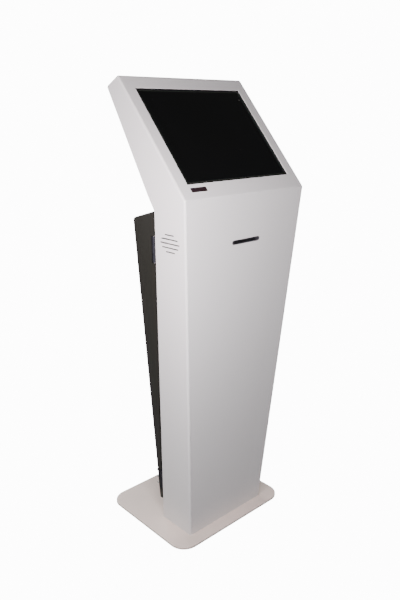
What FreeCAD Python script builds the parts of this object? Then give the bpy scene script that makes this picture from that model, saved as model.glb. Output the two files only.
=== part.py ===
import FreeCAD, Part

import math
import os
import re

import Sketcher
from FreeCAD import Vector

# A floor-standing queue-ticket kiosk: a bent and welded steel column that leans forward and
# carries a tilted touch screen, a ticket printer behind a slot, a rear door and a base plate.
# +X is to the right seen from the front, -Y is the front, +Z is up, and the origin is on the
# floor, plate_ahead behind the base plate's centre. Lengths are in millimetres, angles in degrees.

SIZES = {
    # base plate and what fastens the column to it
    "plate_inset": 4,
    "plate_depth": 327,
    "plate_ahead": 7.5,
    "plate_thick": 6,
    "plate_corner": 45,
    "plate_edge": 1,
    "anchor_hole": 11,
    "anchor_span_x": 190,
    "anchor_span_y": 26,
    "cable_hole": 40,
    "cable_bore": 32,
    "grommet_lip": 3,
    "grommet_flange": 2,
    "foot_bolt": 8,
    "foot_bolt_inset": 13,
    "foot_bolt_head": 15,
    "foot_bolt_head_height": 5.3,
    # sheet-metal column and head: side profile, front outline, sheet and bends
    "toe": 36.7,
    "foot_width": 272.4,
    "foot_depth": 117.5,
    "column_height": 913,
    "column_lean": 4.1,
    "screen_side": 18.95,
    "bezel_top": 36.4,
    "bezel_lean": 41,
    "cap_depth": 52,
    "cap_slope": 26.8,
    "back_length": 318,
    "back_lean": 30.9,
    "skin": 2,
    "bend": 5,
    "crease": 6,
    "taper_round": 150,
    "flange": 20,
    "floor_flange": 24,
    "weld_inset": 6,
    # touch screen behind the bezel
    "opening_up": 39.6,
    "panel_rim_x": 10.25,
    "panel_rim_y": 12.25,
    "gasket_thick": 1,
    "glass_border": 7,
    "glass_thick": 3,
    "panel_width": 358.5,
    "panel_height": 296.5,
    "panel_thick": 12,
    "chassis_wall": 1.2,
    "chassis_play": 0.6,
    "chassis_depth": 32,
    "board_width": 160,
    "board_height": 110,
    "circuit_board": 1.6,
    "board_gap": 3,
    "board_cover_depth": 16,
    "bracket_length": 250,
    "bracket_sheet": 1.5,
    "bracket_foot": 14,
    "stud": 4,
    "stud_length": 9,
    "stud_pitch": 110,
    "stud_side": 7.45,
    "nut_flats": 7,
    "nut_height": 3.2,
    # sensor window under the screen
    "window_x": 144,
    "window_up": 24.5,
    "window_length": 47,
    "window_height": 12,
    "window_round": 3,
    "window_rim": 1.2,
    "sensor_length": 40,
    "sensor_height": 8,
    # ticket slot in the column's front
    "slot_z": 805,
    "mouth_width": 93,
    "mouth_height": 10.3,
    "mouth_proud": 0.6,
    "mouth_flange": 6,
    "paper_gate_width": 84,
    "paper_gate_height": 7,
    "mouth_duct": 14,
    # receipt printer behind the slot
    "shelf_sheet": 2,
    "shelf_lip": 14,
    "shelf_depth": 82,
    "frame_half": 54,
    "frame_sheet": 1.5,
    "frame_drop": 50,
    "frame_top": 22,
    "frame_near": 17,
    "frame_far": 166,
    "cutter_depth": 26,
    "cutter_height": 36,
    "blade_width": 90,
    "blade_height": 13,
    "blade_thick": 1,
    "blade_stroke": 9,
    "platen_radius": 6,
    "platen_width": 82,
    "platen_shaft": 5,
    "platen_far": 58,
    "platen_low": 6.4,
    "gear_module": 0.8,
    "platen_teeth": 50,
    "pinion_teeth": 18,
    "gear_width": 5,
    "motor_side": 28,
    "motor_length": 30,
    "motor_ahead": 12,
    "motor_shaft": 3,
    "print_head_width": 86,
    "head_pivot": 5,
    "head_pivot_up": 14,
    "head_pivot_far": 76,
    "lever_length": 30,
    "roll_radius": 40,
    "roll_width": 79.5,
    "roll_low": 6,
    "roll_far": 121,
    "spindle": 13,
    "feed_button": 5,
    "button_travel": 1.5,
    # computer and power supply on the equipment panel
    "panel_half": 100,
    "panel_low": 150,
    "panel_high": 640,
    "panel_stand": 12,
    "panel_sheet": 1.5,
    "pc_width": 170,
    "pc_height": 200,
    "pc_depth": 34,
    "pc_wall": 1.5,
    "pc_low": 400,
    "fin_height": 8,
    "fin_pitch": 12,
    "fin_thick": 2,
    "power_button": 8,
    "supply_width": 97,
    "supply_height": 159,
    "supply_depth": 38,
    "supply_low": 190,
    # mains inlet and switch in the rear skirt
    "inlet_x": 26,
    "inlet_up": 32,
    "inlet_width": 27,
    "inlet_height": 19.8,
    "inlet_body": 20,
    "switch_x": 24,
    "switch_width": 19,
    "switch_height": 13,
    # head rear cover with its fan
    "cover_inset": 8,
    "cover_sheet": 1.5,
    "cover_screw": 4,
    "vent_length": 60,
    "vent_height": 4,
    "vent_pitch": 10,
    "fan_side": 80,
    "fan_depth": 25,
    "fan_down": 226,
    "fan_bore": 38,
    "fan_hub": 17,
    "fan_blades": 7,
    # rear door, its hinges and lock
    "door_top_depth": 84,
    "door_top_slope": 16.1,
    "door_foot_depth": 12,
    "door_foot": 66,
    "door_gap": 2.5,
    "door_sheet": 1.5,
    "door_crown": 10,
    "door_lip": 12,
    "knuckle": 4.5,
    "hinge_back": 6.8,
    "hinge_pin": 3,
    "hinge_length": 64,
    "hinge_leaf": 18,
    "hinge_sheet": 1.8,
    "hinge_low": 65,
    "hinge_high": 730,
    "lock_z": 300,
    "lock_inset": 34,
    "lock_barrel": 16,
    "lock_rim": 22,
    "lock_plug": 11,
    "cam_length": 27,
    "cam_width": 12,
    "cam_sheet": 2,
    # speakers behind the slotted side walls
    "speaker_back": 4,
    "speaker_z": 816,
    "speaker_radius": 38,
    "speaker_depth": 30,
    "grille_pitch": 10,
    "grille_slot": 2.8,
    "grille_long": 67,
    "grille_middle": 57,
    "grille_short": 32,
    # clearances
    "running": 0.05,
    "fit": 0.15,
    "gap": 0.4,
    # leads inside the column
    "mains_lead": 7,
    "signal_lead": 6,
    "mains_turn": 14,
    "signal_turn": 20,
}

FORMULAS = {
    # corners of the side profile, from the foot of the front round to the heel
    "front_y": "toe - plate_depth / 2 - plate_ahead",
    "foot_half": "foot_width / 2",
    "opening_width": "panel_width - 2 * panel_rim_x",
    "opening_height": "panel_height - 2 * panel_rim_y",
    "chassis_half": "panel_width / 2 + chassis_play + chassis_wall",
    "head_half": "chassis_half + screen_side",
    "head_width": "2 * head_half",
    "plate_width": "head_width - 2 * plate_inset",
    "bezel_length": "opening_up + opening_height + bezel_top",
    "fold_y": "front_y - column_height * tan(column_lean)",
    "fold_z": "plate_thick + column_height",
    "crest_y": "fold_y + bezel_length * sin(bezel_lean)",
    "crest_z": "fold_z + bezel_length * cos(bezel_lean)",
    "back_y": "crest_y + cap_depth * cos(cap_slope)",
    "back_z": "crest_z - cap_depth * sin(cap_slope)",
    "nape_y": "back_y - back_length * sin(back_lean)",
    "nape_z": "back_z - back_length * cos(back_lean)",
    "heel_y": "front_y + foot_depth",
    "foot_mid_y": "front_y + foot_depth / 2",
    "taper": "atan((head_half - foot_half) / column_height)",
    "rear_lean": "atan((heel_y - nape_y) / (nape_z - plate_thick))",
    # the door's wedge behind the column
    "door_shift": "door_gap / cos(rear_lean)",
    "door_heel_y": "heel_y - (door_foot - plate_thick) * tan(rear_lean)",
    "door_front_y": "nape_y + door_shift / (1 - tan(door_top_slope) * tan(rear_lean))",
    "door_front_z": "nape_z - (door_front_y - nape_y) * tan(door_top_slope)",
    "crown_y": "nape_y + door_top_depth",
    "crown_z": "nape_z - door_top_depth * tan(door_top_slope)",
    "door_rear_y": "door_heel_y + door_foot_depth",
    "door_lean": "atan((crown_y - door_rear_y) / (crown_z - door_foot))",
    "window_foot": "door_foot + flange",
    "window_head": "nape_z - flange",
    "hinge_lean": "atan(tan(rear_lean) * cos(taper))",
    "lock_x": "foot_half + (lock_z - plate_thick) * tan(taper) - lock_inset",
    "lock_down": "(crown_z - lock_z) / cos(door_lean)",
    "lock_reach": "(crown_y - (crown_z - lock_z) * tan(door_lean) - heel_y"
                  " + (lock_z - plate_thick) * tan(rear_lean)) / cos(door_lean)"
                  " + skin + gap + cam_sheet + cam_width * tan(door_lean + rear_lean)",
    # the screen's stack, measured inwards from the bezel's outer face
    "screen_mid": "opening_up + opening_height / 2",
    "glass_front": "skin + gasket_thick",
    "glass_back": "glass_front + glass_thick",
    "chassis_up": "panel_height / 2 + chassis_play + chassis_wall",
    "chassis_back": "glass_back + chassis_depth",
    "stud_x": "chassis_half + stud_side",
    # printer
    "slot_up": "(slot_z - plate_thick) / cos(column_lean)",
    "frame_outer": "frame_half + frame_sheet",
    "cutter_front": "mouth_duct + gap",
    "cutter_mid": "cutter_front + cutter_depth / 2",
    "gear_gap": "gear_module * (platen_teeth + pinion_teeth) / 2",
    "motor_drop": "sqrt(gear_gap ^ 2 - motor_ahead ^ 2)",
    "motor_low": "platen_low + motor_drop",
    "motor_far": "platen_far - motor_ahead",
    "gear_side": "frame_outer + 2 * gap",
    "gear_turn": "atan(motor_drop / motor_ahead)",
    # equipment panel
    "panel_back": "skin + panel_stand + panel_sheet",
    "pc_middle": "panel_back + pc_depth / 2",
    "pc_back": "panel_back + pc_depth",
    "supply_back": "panel_back + supply_depth",
    # where the mains inlet and the screen lie in the front panel's frame
    "lean_gap": "column_lean * 1 deg - rear_lean",
    "inlet_high": "inlet_up * cos(lean_gap) + inlet_body * sin(lean_gap) - foot_depth * sin(column_lean)",
    "inlet_back": "foot_depth * cos(column_lean) + inlet_up * sin(lean_gap) - inlet_body * cos(lean_gap)",
    "fold_up": "column_height / cos(column_lean)",
    "tilt": "bezel_lean + column_lean",
    # speakers
    "speaker_x": "foot_half + (speaker_z - plate_thick) * tan(taper)",
    "speaker_y": "front_y - speaker_back",
}

TURN_X = "vector(1; 0; 0)"
TURN_Y = "vector(0; 1; 0)"
TURN_Z = "vector(0; 0; 1)"
NOWHERE = "vector(0; 0; 0)"

# Working frames. In each, z points out of the face it is named for and x stays sideways.
FRAMES = {
    "room": f"placement({NOWHERE}; rotation({TURN_Z}; 0))",
    "bezel": f"placement(vector(0; fold_y; fold_z); rotation({TURN_X}; 90 - bezel_lean))",
    "front": f"placement(vector(0; front_y; plate_thick); rotation({TURN_X}; 90 + column_lean))",
    "back": f"placement(vector(0; back_y; back_z); rotation({TURN_X}; -90 - back_lean))",
    "rear": f"placement(vector(0; heel_y; plate_thick); rotation({TURN_X}; rear_lean - 90 deg))",
    "door": f"placement(vector(0; crown_y; crown_z); rotation({TURN_X}; -90 deg - door_lean))",
    "right": f"placement(vector(speaker_x; speaker_y; speaker_z); rotation({TURN_Y}; 90 deg + taper))",
    "left": f"placement(vector(-speaker_x; speaker_y; speaker_z); rotation({TURN_Y}; -90 deg - taper))",
    "hinge": "placement(vector(-foot_half - (door_foot - plate_thick) * tan(taper); door_heel_y;"
             f" door_foot); rotation({TURN_Y}; -taper))"
             f" * placement({NOWHERE}; rotation({TURN_X}; hinge_lean))"
             f" * placement(vector(knuckle; hinge_back; 0); rotation({TURN_Z}; 0))",
}
FRAMES["printer"] = (FRAMES["front"]
                     + f" * placement(vector(0; slot_up; -skin); rotation({TURN_Z}; 0))")

doc = FreeCAD.newDocument("TicketKiosk")
sheet = doc.addObject("Spreadsheet::Sheet", "Sizes")
for row, (size_name, number) in enumerate(SIZES.items(), 1):
    sheet.set(f"A{row}", size_name)
    sheet.set(f"B{row}", str(number))
    sheet.setAlias(f"B{row}", size_name)
doc.recompute()

nodes = {}
written = {}
known = {}


# ---------------------------------------------------------------------------- working tools

def bound(text):
    """The expression with each size bound to its cell and each formula written out."""
    def word(match):
        name = match.group()
        if name in FORMULAS:
            return "(" + bound(FORMULAS[name]) + ")"
        return "Sizes." + name if name in SIZES else name
    if text not in written:
        written[text] = re.sub(r"[A-Za-z_]\w*", word, text)
    return written[text]


def value(text):
    """The expression as a number."""
    if text not in known:
        result = sheet.evalExpression(bound(text).replace("Sizes.", ""))
        known[text] = float(getattr(result, "Value", result))
    return known[text]


def place(thing, at=("0", "0", "0"), frame="room", turns=()):
    """Seat an object at a point of a frame, turned about its own axes one after another."""
    steps = [FRAMES[frame], f"placement(vector({at[0]}; {at[1]}; {at[2]}); rotation({TURN_Z}; 0))"]
    for axis, angle in turns:
        steps.append(f"placement({NOWHERE}; rotation({axis}; {angle}))")
    thing.setExpression("Placement", bound(" * ".join(steps)))
    return thing


def node(thing, name):
    """Name a finished sub-part; its shape is written to a file of that name."""
    thing.Label = name
    nodes[name] = thing
    return thing


def block(name, x, y, z, frame="room"):
    """A box between pairs of x, y and z in a frame."""
    made = doc.addObject("Part::Box", name)
    for size, (low, high) in zip(("Length", "Width", "Height"), (x, y, z)):
        made.setExpression(size, bound(f"({high}) - ({low})"))
    return place(made, (x[0], y[0], z[0]), frame)


def rod(name, radius, along, x="0", y="0", z="0", axis="z", frame="room"):
    """A cylinder from one value to another along x, y or z of a frame."""
    made = doc.addObject("Part::Cylinder", name)
    made.setExpression("Radius", bound(radius))
    made.setExpression("Height", bound(f"({along[1]}) - ({along[0]})"))
    at = {"x": (along[0], y, z), "y": (x, along[0], z), "z": (x, y, along[0])}[axis]
    turns = {"x": [(TURN_Y, "90")], "y": [(TURN_X, "-90")], "z": []}[axis]
    return place(made, at, frame, turns)


def hexagon(name, flats, along, x="0", y="0", frame="room"):
    """A six-sided prism for a bolt head or nut, by its width across flats."""
    made = doc.addObject("Part::Prism", name)
    made.Polygon = 6
    made.setExpression("Circumradius", bound(f"({flats}) / sqrt(3)"))
    made.setExpression("Height", bound(f"({along[1]}) - ({along[0]})"))
    return place(made, (x, y, along[0]), frame)


def fuse(name, parts):
    made = doc.addObject("Part::MultiFuse", name)
    made.Shapes = parts
    return made


def cut(name, base, tools):
    made = doc.addObject("Part::Cut", name)
    made.Base = base
    made.Tool = tools[0] if len(tools) == 1 else fuse(name + "_tools", tools)
    return made


def common(name, first, second):
    made = doc.addObject("Part::Common", name)
    made.Base = first
    made.Tool = second
    return made


def group(name, parts):
    """Identical pieces that stay separate solids in one node."""
    made = doc.addObject("Part::Compound", name)
    made.Links = parts
    return made


def body(name, at=("0", "0", "0"), frame="room", turns=()):
    made = doc.addObject("PartDesign::Body", name)
    made.AllowCompound = True
    return place(made, at, frame, turns)


def sketch(owner, plane="XY", lift="0"):
    """A sketch on one of the body's own origin planes, lifted along its normal."""
    made = owner.newObject("Sketcher::SketchObject", owner.Name + "_sketch")
    support = next(f for f in owner.Origin.OriginFeatures if f.Role == plane + "_Plane")
    made.AttachmentSupport = [(support, "")]
    made.MapMode = "FlatFace"
    made.setExpression("AttachmentOffset.Base.z", bound(lift))
    return made


def constrain(made, rules):
    """Add constraints together; one that carries an expression is tied to the sheet."""
    numbers = made.addConstraint([Sketcher.Constraint(*rule, value(text)) if text else Sketcher.Constraint(*rule)
                                  for rule, text in rules])
    for index, (_, text) in zip(numbers, rules):
        if text:
            made.setExpression(f"Constraints[{index}]", bound(text))


def held(line, end, x, y):
    """The rules that hold a sketch point at x, y."""
    return [(("DistanceX", -1, 1, line, end), x), (("DistanceY", -1, 1, line, end), y)]


def outline(made, points):
    """Draw a closed outline; a corner with a third value is rounded by that radius."""
    corners = [Vector(value(x), value(y), 0) for x, y, *_ in points]
    count = len(points)
    trims = []
    for n, point in enumerate(points):
        back = (corners[n - 1] - corners[n]).normalize()
        ahead = (corners[(n + 1) % count] - corners[n]).normalize()
        half = back.getAngle(ahead) / 2
        radius = value(point[2]) if len(point) > 2 else 0
        reach = radius / math.tan(half)
        middle = (back + ahead).normalize() * (radius / math.sin(half) - radius) if radius else Vector()
        trims.append((corners[n] + back * reach, corners[n] + middle, corners[n] + ahead * reach))
    sides = made.addGeometry([Part.LineSegment(trims[n][2], trims[(n + 1) % count][0]) for n in range(count)])
    rules = []
    for n, point in enumerate(points):
        before, after = sides[n - 1], sides[n]
        if len(point) == 2:
            rules.append((("Coincident", before, 2, after, 1), None))
            rules += held(after, 1, *point)
            continue
        arc = made.addGeometry(Part.Arc(*trims[n]))
        onward = made.getPoint(arc, 1).distanceToPoint(trims[n][0]) < 1e-6
        corner = made.addGeometry(Part.Point(corners[n]), True)
        rules += [
            (("Tangent", before, 2, arc, 1 if onward else 2), None),
            (("Tangent", after, 1, arc, 2 if onward else 1), None),
            (("PointOnObject", corner, 1, before), None),
            (("PointOnObject", corner, 1, after), None),
            (("Radius", arc), point[2]),
            *held(corner, 1, *point[:2]),
        ]
    constrain(made, rules)


def circle(made, x, y, radius):
    ring = made.addGeometry(Part.Circle(Vector(value(x), value(y), 0), Vector(0, 0, 1), value(radius)))
    constrain(made, [*held(ring, 3, x, y), (("Radius", ring), radius)])


def rectangle(x, y, radius=None):
    """The corners of a rectangle between pairs of x and y, rounded if a radius is given."""
    spots = [(x[0], y[0]), (x[1], y[0]), (x[1], y[1]), (x[0], y[1])]
    return [(*spot, radius) for spot in spots] if radius else spots


def around(middle, size):
    """The pair of values half a size either side of a middle."""
    return f"({middle}) - ({size}) / 2", f"({middle}) + ({size}) / 2"


def feature(owner, kind, **settings):
    """Add a PartDesign feature; a setting given as text is bound to the sheet."""
    made = owner.newObject("PartDesign::" + kind, f"{owner.Name}_{kind}")
    for key, setting in settings.items():
        if isinstance(setting, str):
            made.setExpression(key, bound(setting))
        else:
            setattr(made, key, setting)
    return made


def draw(owner, plane, lift, outlines, circles):
    made = sketch(owner, plane, lift)
    for points in outlines:
        outline(made, points)
    for x, y, radius in circles:
        circle(made, x, y, radius)
    return made


def pad(owner, low, high, outlines=(), circles=(), plane="XY"):
    """Add material between two heights over a sketch plane."""
    made = draw(owner, plane, low, outlines, circles)
    return feature(owner, "Pad", Profile=made, Length=f"({high}) - ({low})")


def pocket(owner, low, high, outlines=(), circles=(), plane="XY"):
    """Take material away between two heights over a sketch plane."""
    made = draw(owner, plane, low, outlines, circles)
    return feature(owner, "Pocket", Profile=made, Length=f"({high}) - ({low})", Reversed=True)


def repeat(owner, cutter, across, along):
    """Repeat a feature in columns and rows; each is a count and a pitch."""
    steps = []
    for role, (count, pitch) in (("X_Axis", across), ("Y_Axis", along)):
        axis = next(f for f in owner.Origin.OriginFeatures if f.Role == role)
        steps.append(feature(owner, "LinearPattern", Direction=(axis, [""]), Occurrences=count,
                             Length=f"{count - 1} * ({pitch})"))
    many = owner.newObject("PartDesign::MultiTransform", owner.Name + "_grid")
    many.Originals = [cutter]
    many.Transformations = steps
    owner.Tip = many


def prism(name, low, high, outlines=(), circles=(), frame="room", at=("0", "0", "0"), turns=(), plane="XY"):
    """A body whose first pad is the outlines given."""
    made = body(name, at, frame, turns)
    pad(made, low, high, outlines, circles, plane)
    return made


def lathe(name, points, frame="room", at=("0", "0", "0"), turns=()):
    """A body turned about its own z; each point is a radius and a height."""
    made = body(name, at, frame, turns)
    profile = sketch(made, "XZ")
    outline(profile, points)
    feature(made, "Revolution", Profile=profile, ReferenceAxis=(profile, ["V_Axis"]), Angle="360")
    return made


def chosen(shape, test):
    """The names of a shape's edges that pass a test."""
    return [f"Edge{n}" for n, edge in enumerate(shape.Edges, 1) if test(edge)]


def round_edges(owner, test, radius):
    doc.recompute()
    base = owner.Tip
    feature(owner, "Fillet", Base=(base, chosen(base.Shape, test)), Radius=radius)


def is_level(edge, z):
    """Whether an edge lies wholly at a height."""
    return all(abs(vertex.Point.z - value(z)) < 1e-3 for vertex in edge.Vertexes)


def runs_sideways(edge):
    start, end = edge.Vertexes[0].Point, edge.Vertexes[-1].Point
    return abs(start.x - end.x) > 1 and (start - end).Length - abs(start.x - end.x) < 1e-6


def screws(name, spots, frame, seat, head, head_height, shank, length):
    """Round-headed screws that stand on a seat height and reach down from it."""
    made = []
    for n, (x, y) in enumerate(spots):
        top = rod(f"{name}_head{n}", f"({head}) / 2", (seat, f"({seat}) + ({head_height})"), x, y, frame=frame)
        stem = rod(f"{name}_stem{n}", f"({shank}) / 2", (f"({seat}) - ({length})", seat), x, y, frame=frame)
        made.append(fuse(f"{name}_{n}", [top, stem]))
    return node(group(name, made), name)


def bores(name, spots, frame, radius, along):
    """Cutting rods for a row of holes."""
    return [rod(f"{name}_bore{n}", radius, along, x, y, frame=frame) for n, (x, y) in enumerate(spots)]


# ------------------------------------------------------------------- column and head sheet

def wedge(name, profile):
    """A side profile as wide as the head, trimmed to the column's tapered front outline."""
    made = body(name)
    side = sketch(made, "YZ")
    outline(side, profile)
    feature(made, "Pad", Profile=side, Length="head_width", Midplane=True)
    front = sketch(made, "XZ")
    for sign in ("", "-"):
        outline(front, [
            (f"{sign}foot_half", "plate_thick"),
            (f"{sign}head_half", "fold_z", "taper_round"),
            (f"{sign}head_half", "crest_z"),
            (f"{sign}(head_half + skin)", "crest_z"),
            (f"{sign}(head_half + skin)", "0"),
            (f"{sign}foot_half", "0"),
        ])
    feature(made, "Pocket", Profile=front, Type=1, Midplane=True)
    return made


def normal_of(face):
    low_u, high_u, low_v, high_v = face.ParameterRange
    return face.normalAt((low_u + high_u) / 2, (low_v + high_v) / 2)


def round_sides(owner, radius, keep):
    """Round every edge between a side wall and another face, except the faces to keep square."""
    doc.recompute()
    base = owner.Tip
    found = []
    for n, edge in enumerate(base.Shape.Edges, 1):
        faces = base.Shape.ancestorsOfType(edge, Part.Face)
        sides = [abs(normal_of(face).x) > 0.9 for face in faces]
        if sorted(sides) == [False, True] and not keep(normal_of(faces[sides.index(False)])):
            found.append(f"Edge{n}")
    feature(owner, "Fillet", Base=(base, found), Radius=radius)


def hollow_of(name, source, sheet_size):
    """The solid space inside a closed form, one sheet thickness in."""
    made = doc.addObject("Part::Offset", name)
    made.Source = source
    made.setExpression("Value", bound("-" + sheet_size))
    return made


shell_form = wedge("shell_form", [
    ("front_y", "plate_thick"),
    ("fold_y", "fold_z"),
    ("crest_y", "crest_z"),
    ("back_y", "back_z"),
    ("nape_y", "nape_z"),
    ("heel_y", "plate_thick"),
])
round_edges(shell_form, lambda edge: runs_sideways(edge) and edge.Vertexes[0].Point.z > value("nape_z - 1"),
            "crease")
round_sides(shell_form, "bend", lambda normal: normal.z < -0.9)
shell_hollow = hollow_of("shell_hollow", shell_form, "skin")
shell_skin = cut("shell_skin", shell_form, [shell_hollow])

screen_cut = block("screen_cut", around("0", "opening_width"),
                   ("opening_up", "opening_up + opening_height"), ("-2 * skin", "skin"), "bezel")
window_cut = prism("window_cut", "-2 * skin", "skin", [rectangle(
    around("-window_x", "window_length"), around("window_up", "window_height"), "window_round")], frame="bezel")
mouth_cut = prism("mouth_cut", "-skin", "2 * skin", [rectangle(
    around("0", "mouth_width + 2 * fit"), around("0", "mouth_height + 2 * fit"),
    "mouth_height / 2")], frame="printer")

grille = []
for step, length in ((-2, "grille_short"), (-1, "grille_middle"), (0, "grille_long"),
                     (1, "grille_middle"), (2, "grille_short")):
    grille.append(rectangle(around("speaker_y", length),
                            around(f"speaker_z + {step} * grille_pitch", "grille_slot"),
                            "grille_slot * 0.49"))
grille_cut = prism("grille_cut", "-head_half", "head_half", grille, plane="YZ")


def flank(z):
    """The column's half width at a height."""
    return f"(foot_half + ({z} - plate_thick) * tan(taper))"


rear_window_cut = prism("rear_window_cut", "-heel_y - 30", "-nape_y + 30", [[
    (f"-{flank('window_foot')} + flange", "window_foot"),
    (f"{flank('window_foot')} - flange", "window_foot"),
    (f"{flank('window_head')} - flange", "window_head"),
    (f"-{flank('window_head')} + flange", "window_head"),
]], plane="XZ")
head_window_cut = block("head_window_cut", around("0", "head_width - 2 * flange"),
                        ("flange", "back_length - flange"), ("-2 * skin", "skin"), "back")
floor_cut = block("floor_cut", around("0", "foot_width - 2 * floor_flange"),
                  ("front_y + floor_flange", "heel_y - floor_flange"),
                  ("plate_thick - 1", "plate_thick + skin + 1"))
inlet_cut = block("inlet_cut", around("-inlet_x", "inlet_width"), around("-inlet_up", "inlet_height"),
                  ("-2 * skin", "skin"), "rear")
switch_cut = block("switch_cut", around("switch_x", "switch_width"), around("-inlet_up", "switch_height"),
                   ("-2 * skin", "skin"), "rear")

foot_spots = [(f"{side}(foot_half - foot_bolt_inset)", y) for side in ("-", "")
              for y in ("front_y + foot_bolt_inset", "heel_y - foot_bolt_inset")]
cover_spots = [(f"{side}(head_half - cover_inset - 6)", y) for side in ("-", "")
               for y in ("cover_inset + 6", "back_length / 2", "back_length - cover_inset - 6")]
stud_spots = [(f"{side}stud_x", f"screen_mid + {step} * stud_pitch") for side in ("-", "")
              for step in (-1, 0, 1)]

shell_cut = cut("shell_cut", shell_skin, [
    screen_cut, window_cut, mouth_cut, grille_cut, rear_window_cut, head_window_cut, floor_cut,
    inlet_cut, switch_cut,
    *bores("shell_foot", foot_spots, "room", "foot_bolt / 2 + fit", ("plate_thick - 1", "plate_thick + skin + 1")),
    *bores("shell_cover", cover_spots, "back", "cover_screw / 2 + running", ("-2 * skin", "skin")),
])
studs = bores("shell_stud", stud_spots, "bezel", "stud / 2", ("-skin - stud_length", "-skin"))
shell = fuse("shell", [shell_cut, *studs])

# The shell is welded from five sheets and ground flush. The seams run just past the bends: the
# side sheets carry the bends, the front sheet is folded over the head, the rear frame holds the
# two rear openings, and the foot frame lies on the base plate.
seam_form = prism("seam_form", "-plate_depth", "plate_depth", [[
    (f"weld_inset - {flank('0')}", "0"),
    (f"{flank('0')} - weld_inset", "0"),
    ("head_half - weld_inset", "fold_z", "taper_round"),
    ("head_half - weld_inset", "crest_z + skin"),
    ("weld_inset - head_half", "crest_z + skin"),
    ("weld_inset - head_half", "fold_z", "taper_round"),
]], plane="XZ")
side_sheets = cut("side_sheets", shell, [seam_form])
middle_sheets = common("middle_sheets", shell, seam_form)
for side, across in (("left", ("-head_width", "0")), ("right", ("0", "head_width"))):
    half = block(f"{side}_half", across, ("-plate_depth", "plate_depth"), ("0", "crest_z + skin"))
    node(common(f"side_skin_{side}", side_sheets, half), f"side_skin_{side}")

foot_zone = block("foot_zone", ("-head_width", "head_width"), ("-plate_depth", "plate_depth"),
                  ("0", "plate_thick + skin"))
rear_zone = fuse("rear_zone", [
    block("head_rear_zone", ("-head_half", "head_half"), ("weld_inset", "back_length + crease"),
          ("-flange / 2", "skin"), "back"),
    block("column_rear_zone", ("-head_half", "head_half"),
          ("(plate_thick - nape_z) / cos(rear_lean) - crease", "skin"), ("-flange / 2", "skin"), "rear"),
])
node(common("foot_frame", middle_sheets, foot_zone), "foot_frame")
upright_sheets = cut("upright_sheets", middle_sheets, [foot_zone])
node(common("rear_frame", upright_sheets, rear_zone), "rear_frame")
node(cut("front_skin", upright_sheets, [rear_zone]), "front_skin")

# ------------------------------------------------------------------------------ base plate

anchor_spots = [(f"{side}anchor_span_x / 2", f"foot_mid_y {sign} anchor_span_y / 2")
                for side in ("-", "") for sign in "+-"]
base_plate = prism("base_plate", "0", "plate_thick", [rectangle(
    around("0", "plate_width"), around("-plate_ahead", "plate_depth"), "plate_corner")])
pocket(base_plate, "0", "plate_thick", circles=[
    *[(x, y, "anchor_hole / 2") for x, y in anchor_spots],
    *[(x, y, "foot_bolt / 2 + running") for x, y in foot_spots],
    ("0", "foot_mid_y", "cable_hole / 2"),
])
round_edges(base_plate, lambda edge: is_level(edge, "plate_thick") and edge.BoundBox.DiagonalLength
            > value("cable_hole * 1.5"), "plate_edge")
node(base_plate, "base_plate")

node(lathe("cable_grommet", [
    ("cable_bore / 2", "gap"),
    ("cable_hole / 2 - running", "gap"),
    ("cable_hole / 2 - running", "plate_thick"),
    ("cable_hole / 2 + grommet_lip", "plate_thick"),
    ("cable_hole / 2 + grommet_lip", "plate_thick + grommet_flange"),
    ("cable_bore / 2", "plate_thick + grommet_flange"),
], at=("0", "foot_mid_y", "0")), "cable_grommet")

foot_bolts = []
for n, (x, y) in enumerate(foot_spots):
    seat = "plate_thick + skin"
    bolt_head = hexagon(f"foot_bolt_head{n}", "foot_bolt_head * 0.87",
                        (seat, f"{seat} + foot_bolt_head_height"), x, y)
    bolt_stem = rod(f"foot_bolt_stem{n}", "foot_bolt / 2", ("gap", seat), x, y)
    foot_bolts.append(fuse(f"foot_bolt{n}", [bolt_head, bolt_stem]))
node(group("foot_bolts", foot_bolts), "foot_bolts")

# ------------------------------------------------------------------------- head rear cover

cover = prism("head_rear_cover", "0", "cover_sheet", [rectangle(
    around("0", "head_width - 2 * cover_inset"), ("cover_inset", "back_length - cover_inset"), "6")],
    frame="back")
pocket(cover, "0", "cover_sheet", circles=[(x, y, "cover_screw / 2 + running") for x, y in cover_spots])
vent = pocket(cover, "0", "cover_sheet", [rectangle(
    around("-1.5 * vent_length", "vent_length"), around("2 * flange", "vent_height"), "vent_height * 0.49")])
repeat(cover, vent, (3, "1.5 * vent_length"), (7, "vent_pitch"))
grille_holes = [("0", "fan_down", "2.5")]
for ring, holes in ((1, 6), (2, 12), (3, 18)):
    for step in range(holes):
        angle = 360 * step / holes
        reach = f"{ring} * fan_bore * 0.29"
        grille_holes.append((f"{reach} * cos({angle})", f"fan_down + {reach} * sin({angle})", "2.5"))
pocket(cover, "0", "cover_sheet", circles=grille_holes)
node(cover, "head_rear_cover")
screws("cover_screws", cover_spots, "back", "cover_sheet", "2 * cover_screw", "2.4", "cover_screw",
       "cover_sheet + skin + 3")

# fan that draws the screen's heat out through the cover
fan_frame = prism("fan_frame", "-fan_depth", "0", [rectangle(
    around("0", "fan_side"), around("fan_down", "fan_side"), "4")], frame="back")
pocket(fan_frame, "-fan_depth", "0", circles=[("0", "fan_down", "fan_bore")])
fan_seat = rod("fan_seat", "fan_hub", ("-fan_depth", "2 - fan_depth"), y="fan_down", frame="back")
fan_arms = [
    block("fan_arm_across", around("0", "fan_side - 2"), around("fan_down", "4"),
          ("-fan_depth", "2 - fan_depth"), "back"),
    block("fan_arm_along", around("0", "4"), around("fan_down", "fan_side - 2"),
          ("-fan_depth", "2 - fan_depth"), "back"),
]
fan_pin = rod("fan_pin", "2", ("2 - fan_depth", "12 - fan_depth"), y="fan_down", frame="back")
node(fuse("fan_housing", [fan_frame, fan_seat, *fan_arms, fan_pin]), "fan_housing")

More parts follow.
